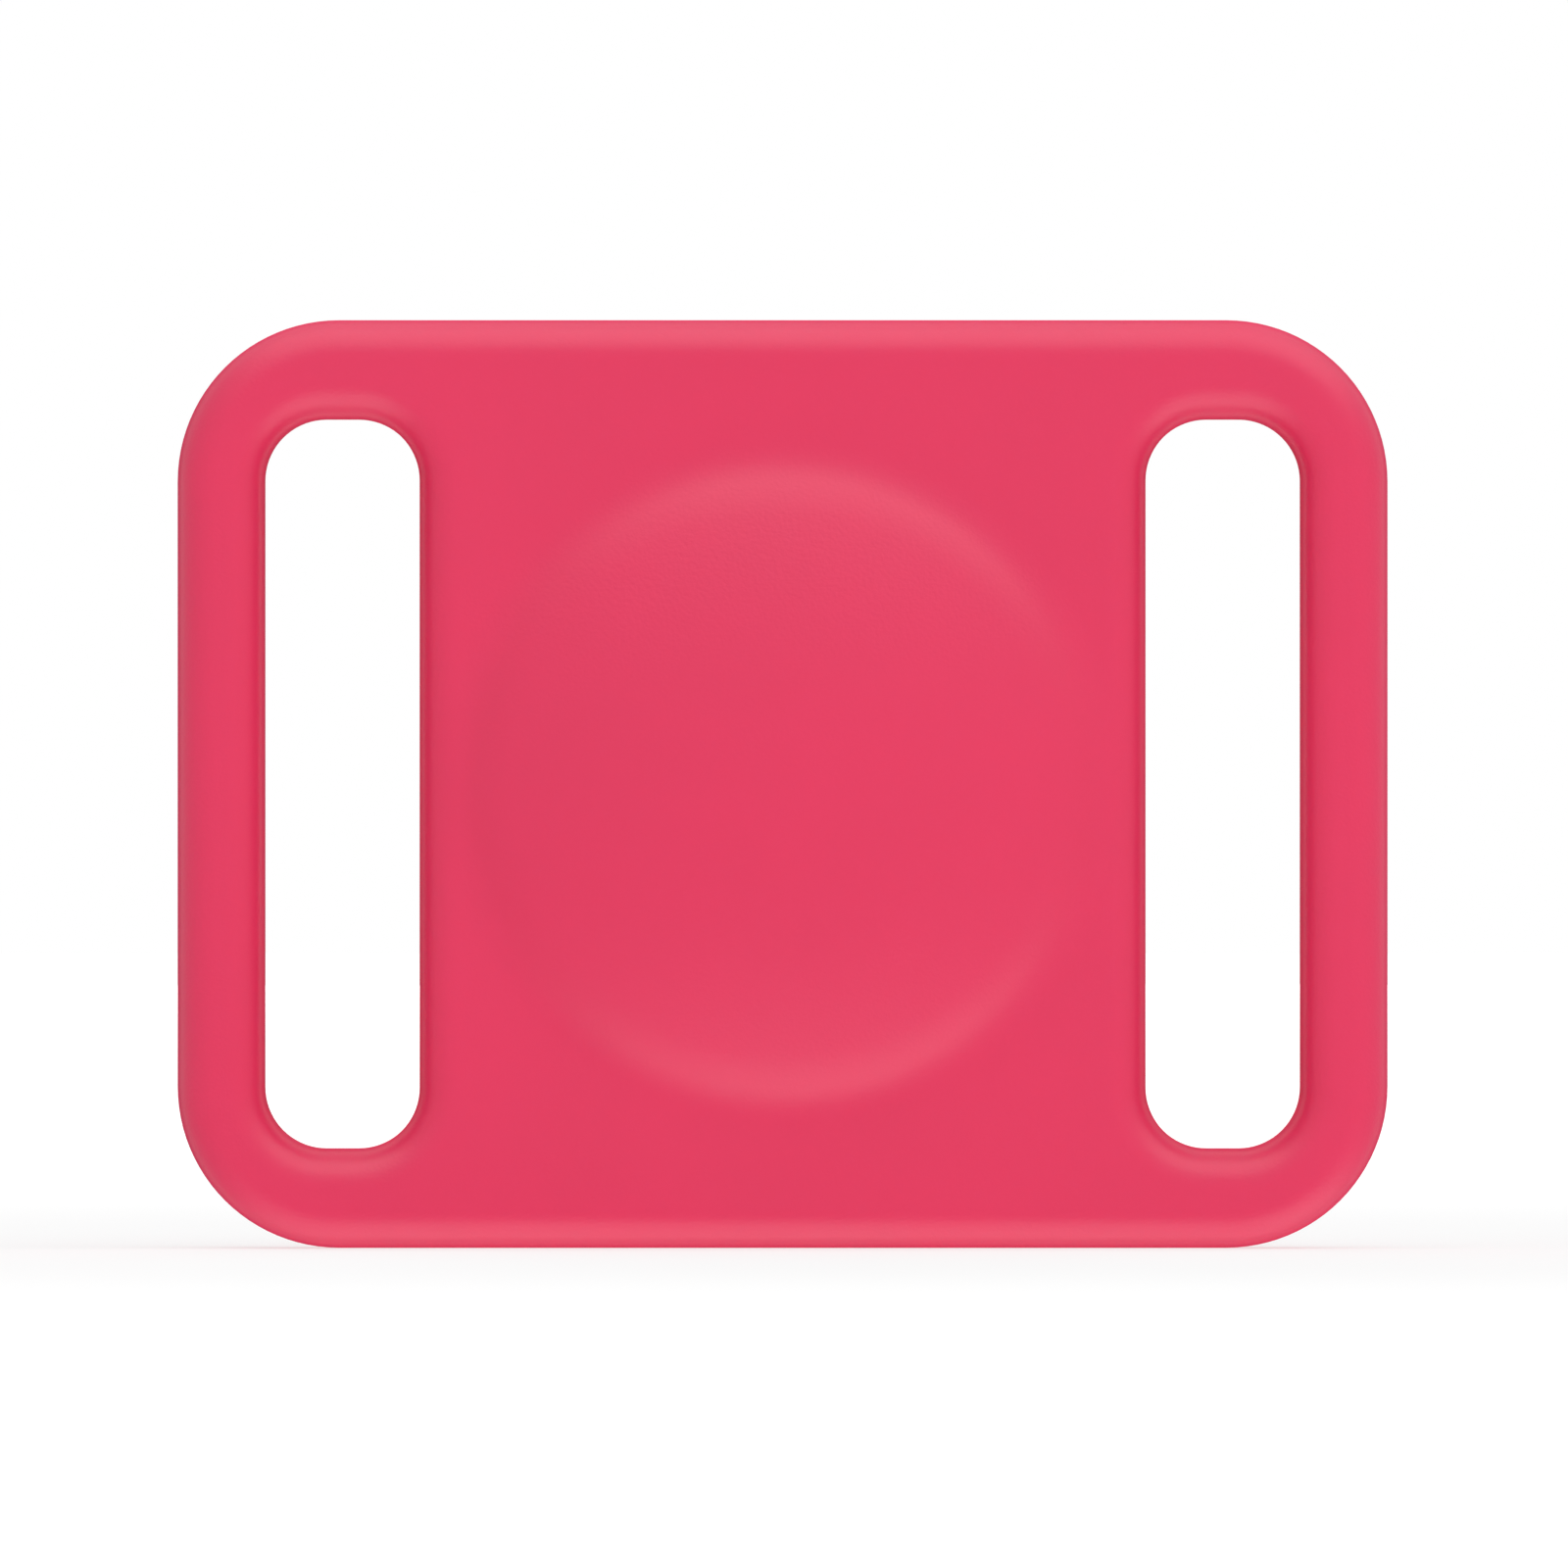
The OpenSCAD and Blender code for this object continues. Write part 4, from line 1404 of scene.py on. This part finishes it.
@dataclass
class BatteryCover(SubAssembly):
    """The steel cover, its bayonet ring and the seal under it."""

    cover_r: float = 12.8
    cover_t: float = 0.35
    edge_share: float = 0.4
    edge_turn: float = 84.0
    rise: float = 0.57
    rear: float = 8.0
    ring_in_r: float = 10.6
    ring_out_r: float = 11.6
    lug_r: float = 12.45
    lug_front: float = 5.43
    lug_rear: float = 6.08
    lug_turn: float = 26.0
    lug_root: float = 0.3
    ring_edge: float = 0.08
    seal_in_r: float = 11.7
    seal_out_r: float = 12.7
    seal_front: float = 6.76
    seal_t: float = 0.3
    seal_edge: float = 0.12

    @property
    def ball_r(self) -> float:
        """Radius of the cover's outer sphere."""
        return (self.cover_r ** 2 + self.rise ** 2) / (2 * self.rise)

    def dish(self, radius: float, reach: float, steps: int) -> list[Point]:
        """The arc of a sphere concentric with the cover, from the axis outwards.

        Args:
            radius: The sphere's radius.
            reach: Radius where the arc ends.
            steps: Number of stretches.

        Returns:
            The points.
        """
        centre = (0.0, TAG.y(self.rear) - self.ball_r)
        line = arc(centre, radius, 90, 90 - math.degrees(math.asin(reach / radius)), steps)
        line[0] = (0.0, line[0][1])
        return line

    def plate(self) -> bpy.types.Mesh:
        """The pressed steel cover with its turned edge.

        Returns:
            The closed dish.
        """
        edge, turn = self.cover_t * self.edge_share, self.edge_turn
        seat = self.cover_r - edge
        outer = self.dish(self.ball_r, seat, 30)
        inner = self.dish(self.ball_r - self.cover_t, seat, 30)
        turned = [*arc((seat, outer[-1][1] - edge), edge, turn, 0, 5),
                  *arc((seat, inner[-1][1] + edge), edge, 0, -turn, 5)]
        return lathe("plate", outer[:-1] + turned + inner[-2::-1], closed=False, segments=192)

    def ring(self) -> bpy.types.Mesh:
        """The ring inside the cover, with its lugs repeated round the axis.

        Returns:
            The ring and its three lugs.
        """
        front, lug_rear = TAG.y(self.lug_front), TAG.y(self.lug_rear)
        top = self.dish(self.ball_r - self.cover_t, self.ring_out_r, 60)
        rear = [p for p in top if p[0] > self.ring_in_r][::-1]
        hoop = lathe("ring", softened([(self.ring_in_r, front), (self.ring_out_r, front), rear[0],
                                       (self.ring_in_r, rear[-1][1])], self.ring_edge))
        lug = arc_block("lug", self.ring_out_r - self.lug_root, self.lug_r, front, lug_rear,
                        self.lug_turn, self.ring_edge)
        return joined("ring", [hoop, thrice(lug, INNER_PLASTIC)], merge=False)

    def build(self) -> None:
        """Adds the cover's pieces."""
        self.add("steel_cover", self.plate(), COVER_STEEL, "cover", "cover_steel", "cover_plate")
        self.add("bayonet_ring", self.ring(), INNER_PLASTIC, "cover", "white_plastic", "cover_ring")
        front = TAG.y(self.seal_front)
        seal = band(self.seal_in_r, self.seal_out_r, front, front + self.seal_t,
                    self.seal_edge, 4)
        self.add("flat_seal", lathe("seal", seal), SEAL_RUBBER, "seal", "seal_rubber", "cover_seal")


# ---------------------------------------------------------------- studio


class Rays(Enum):
    """What a lamp is for, as diffuse and glossy: light, a reflection, or both."""

    BOTH = (True, True)
    LIGHT = (True, False)
    SHEEN = (False, True)


@dataclass(frozen=True)
class Lamp:
    """One soft, flat lamp."""

    name: str
    place: tuple[float, float, float]
    target: tuple[float, float, float]
    span: tuple[float, float]
    radiance: float
    rays: Rays = Rays.BOTH


@dataclass
class Studio:
    """Pale floor, soft lamps above, below and behind, and the camera at the photograph's angle."""

    # The floor lies just under the holder's foot; its white is kept by a glow that only the
    # rays to the background see, weaker near the holder, so that the shadow shows
    floor_z: float = -0.02303
    floor_span: float = 6.0
    floor_albedo: float = 0.35
    near_glow: float = 0.63
    far_glow: float = 0.9
    near_r: float = 0.06
    far_r: float = 0.5
    # What the world adds to the light, against one for the white that is seen
    ambient: float = 0.49
    # The camera: lens and sensor in millimetres, width of the view at the holder in metres
    lens: float = 800.0
    sensor: float = 36.0
    view_w: float = 0.07776
    camera_x: float = 0.00007
    sight: float = 20.0
    lamps: tuple[Lamp, ...] = (
        Lamp("top_lamp", (0.36, -0.62, 1.1), (0.36, -0.62, 0.0), (2.2, 1.7), 1.05),
        Lamp("top_card", (0.36, -0.62, 1.1), (0.36, -0.62, 0.0), (2.2, 1.7), 0.2, Rays.SHEEN),
        Lamp("low_lamp", (0.36, -0.62, -1.1), (0.36, -0.62, 0.0), (2.2, 1.7), 1.34),
        Lamp("front_lamp", (0.05, -2.2, 0.0), (0.0, 0.0, 0.0), (1.2, 1.2), 2.55, Rays.LIGHT),
        Lamp("back_lamp", (-0.3, 2.1, 0.5), (0.0, 0.0, 0.0), (1.2, 1.2), 3.6, Rays.LIGHT),
    )

    def background(self, tree: bpy.types.NodeTree) -> Term:
        """Tells the rays that see the background from those that light the object.

        Args:
            tree: The node tree of the world or the floor.

        Returns:
            One for camera, glossy and transmission rays, and zero for the others.
        """
        path = tree.nodes.new("ShaderNodeLightPath")
        seen = Term(tree, path.outputs["Is Camera Ray"])
        for ray in ("Is Glossy Ray", "Is Transmission Ray"):
            seen = seen.most(Term(tree, path.outputs[ray]))
        return seen

    def world(self) -> None:
        """A white background over a plain level of light."""
        world = bpy.data.worlds.new("studio")
        world.use_nodes = True
        tree = world.node_tree
        shade = tree.nodes["Background"]
        shade.inputs["Color"].default_value = (1.0, 1.0, 1.0, 1.0)
        strength = self.background(tree) * (1 - self.ambient) + self.ambient
        plug(tree, shade.inputs["Strength"], strength)
        bpy.context.scene.world = world

    def floor(self) -> None:
        """The floor: white like the background, with the holder's soft shadow."""
        half = self.floor_span / 2 / MM
        z = self.floor_z / MM
        mesh = mesh_from("floor", [(-half, -half, z), (half, -half, z), (half, half, z),
                                   (-half, half, z)], [(0, 1, 2, 3)])
        material = bpy.data.materials.new("floor_white")
        material.use_nodes = True
        tree = material.node_tree
        tree.nodes.remove(tree.nodes["Principled BSDF"])
        matt = tree.nodes.new("ShaderNodeBsdfDiffuse")
        matt.inputs["Color"].default_value = (*[self.floor_albedo] * 3, 1.0)
        place = tree.nodes.new("ShaderNodeTexCoord")
        away = tree.nodes.new("ShaderNodeVectorMath")
        away.operation = "LENGTH"
        plug(tree, away.inputs[0], place.outputs["Object"])
        reach = smooth_range(Term(tree, away.outputs["Value"]), self.near_r, self.far_r,
                             self.near_glow, self.far_glow)
        glow = tree.nodes.new("ShaderNodeEmission")
        plug(tree, glow.inputs["Strength"], self.background(tree) * reach)
        both = tree.nodes.new("ShaderNodeAddShader")
        plug(tree, both.inputs[0], matt.outputs[0])
        plug(tree, both.inputs[1], glow.outputs[0])
        plug(tree, tree.nodes["Material Output"].inputs["Surface"], both.outputs[0])
        mesh.materials.append(material)
        floor = bpy.data.objects.new("floor", mesh)
        floor.visible_shadow = False
        bpy.context.scene.collection.objects.link(floor)

    def light(self, lamp: Lamp) -> None:
        """Hangs a lamp.

        Args:
            lamp: Its place, size and strength.
        """
        data = bpy.data.lights.new(lamp.name, "AREA")
        data.shape = "RECTANGLE"
        data.size, data.size_y = lamp.span
        data.energy = lamp.radiance * math.pi * data.size * data.size_y
        data.cycles.use_multiple_importance_sampling = False
        item = bpy.data.objects.new(lamp.name, data)
        item.location = lamp.place
        aim = Vector(lamp.target) - Vector(lamp.place)
        item.rotation_euler = aim.to_track_quat("-Z", "Y").to_euler()
        item.visible_camera = False
        item.visible_diffuse, item.visible_glossy = lamp.rays.value
        bpy.context.scene.collection.objects.link(item)

    def camera(self) -> None:
        """Level camera in front of the dome, far enough away for little perspective."""
        data = bpy.data.cameras.new("camera")
        data.lens, data.sensor_width = self.lens, self.sensor
        data.clip_end = self.sight
        item = bpy.data.objects.new("camera", data)
        item.location = (self.camera_x, -self.view_w * self.lens / self.sensor, 0.0)
        item.rotation_euler = (math.pi / 2, 0.0, 0.0)
        bpy.context.scene.collection.objects.link(item)
        bpy.context.scene.camera = item

    def build(self) -> None:
        """Sets up the studio."""
        bpy.context.scene.view_settings.view_transform = "Standard"
        self.world()
        self.floor()
        for lamp in self.lamps:
            self.light(lamp)
        self.camera()


def main() -> None:
    """Builds the sub-assemblies in order, then the studio round them."""
    logging.basicConfig(level=logging.INFO, format="%(message)s")
    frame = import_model()
    for assembly in (Moulding, TagShell, Electronics, CoinCell, BatteryCover):
        assembly(frame).build()
    Studio().build()


if __name__ == "__main__":
    main()
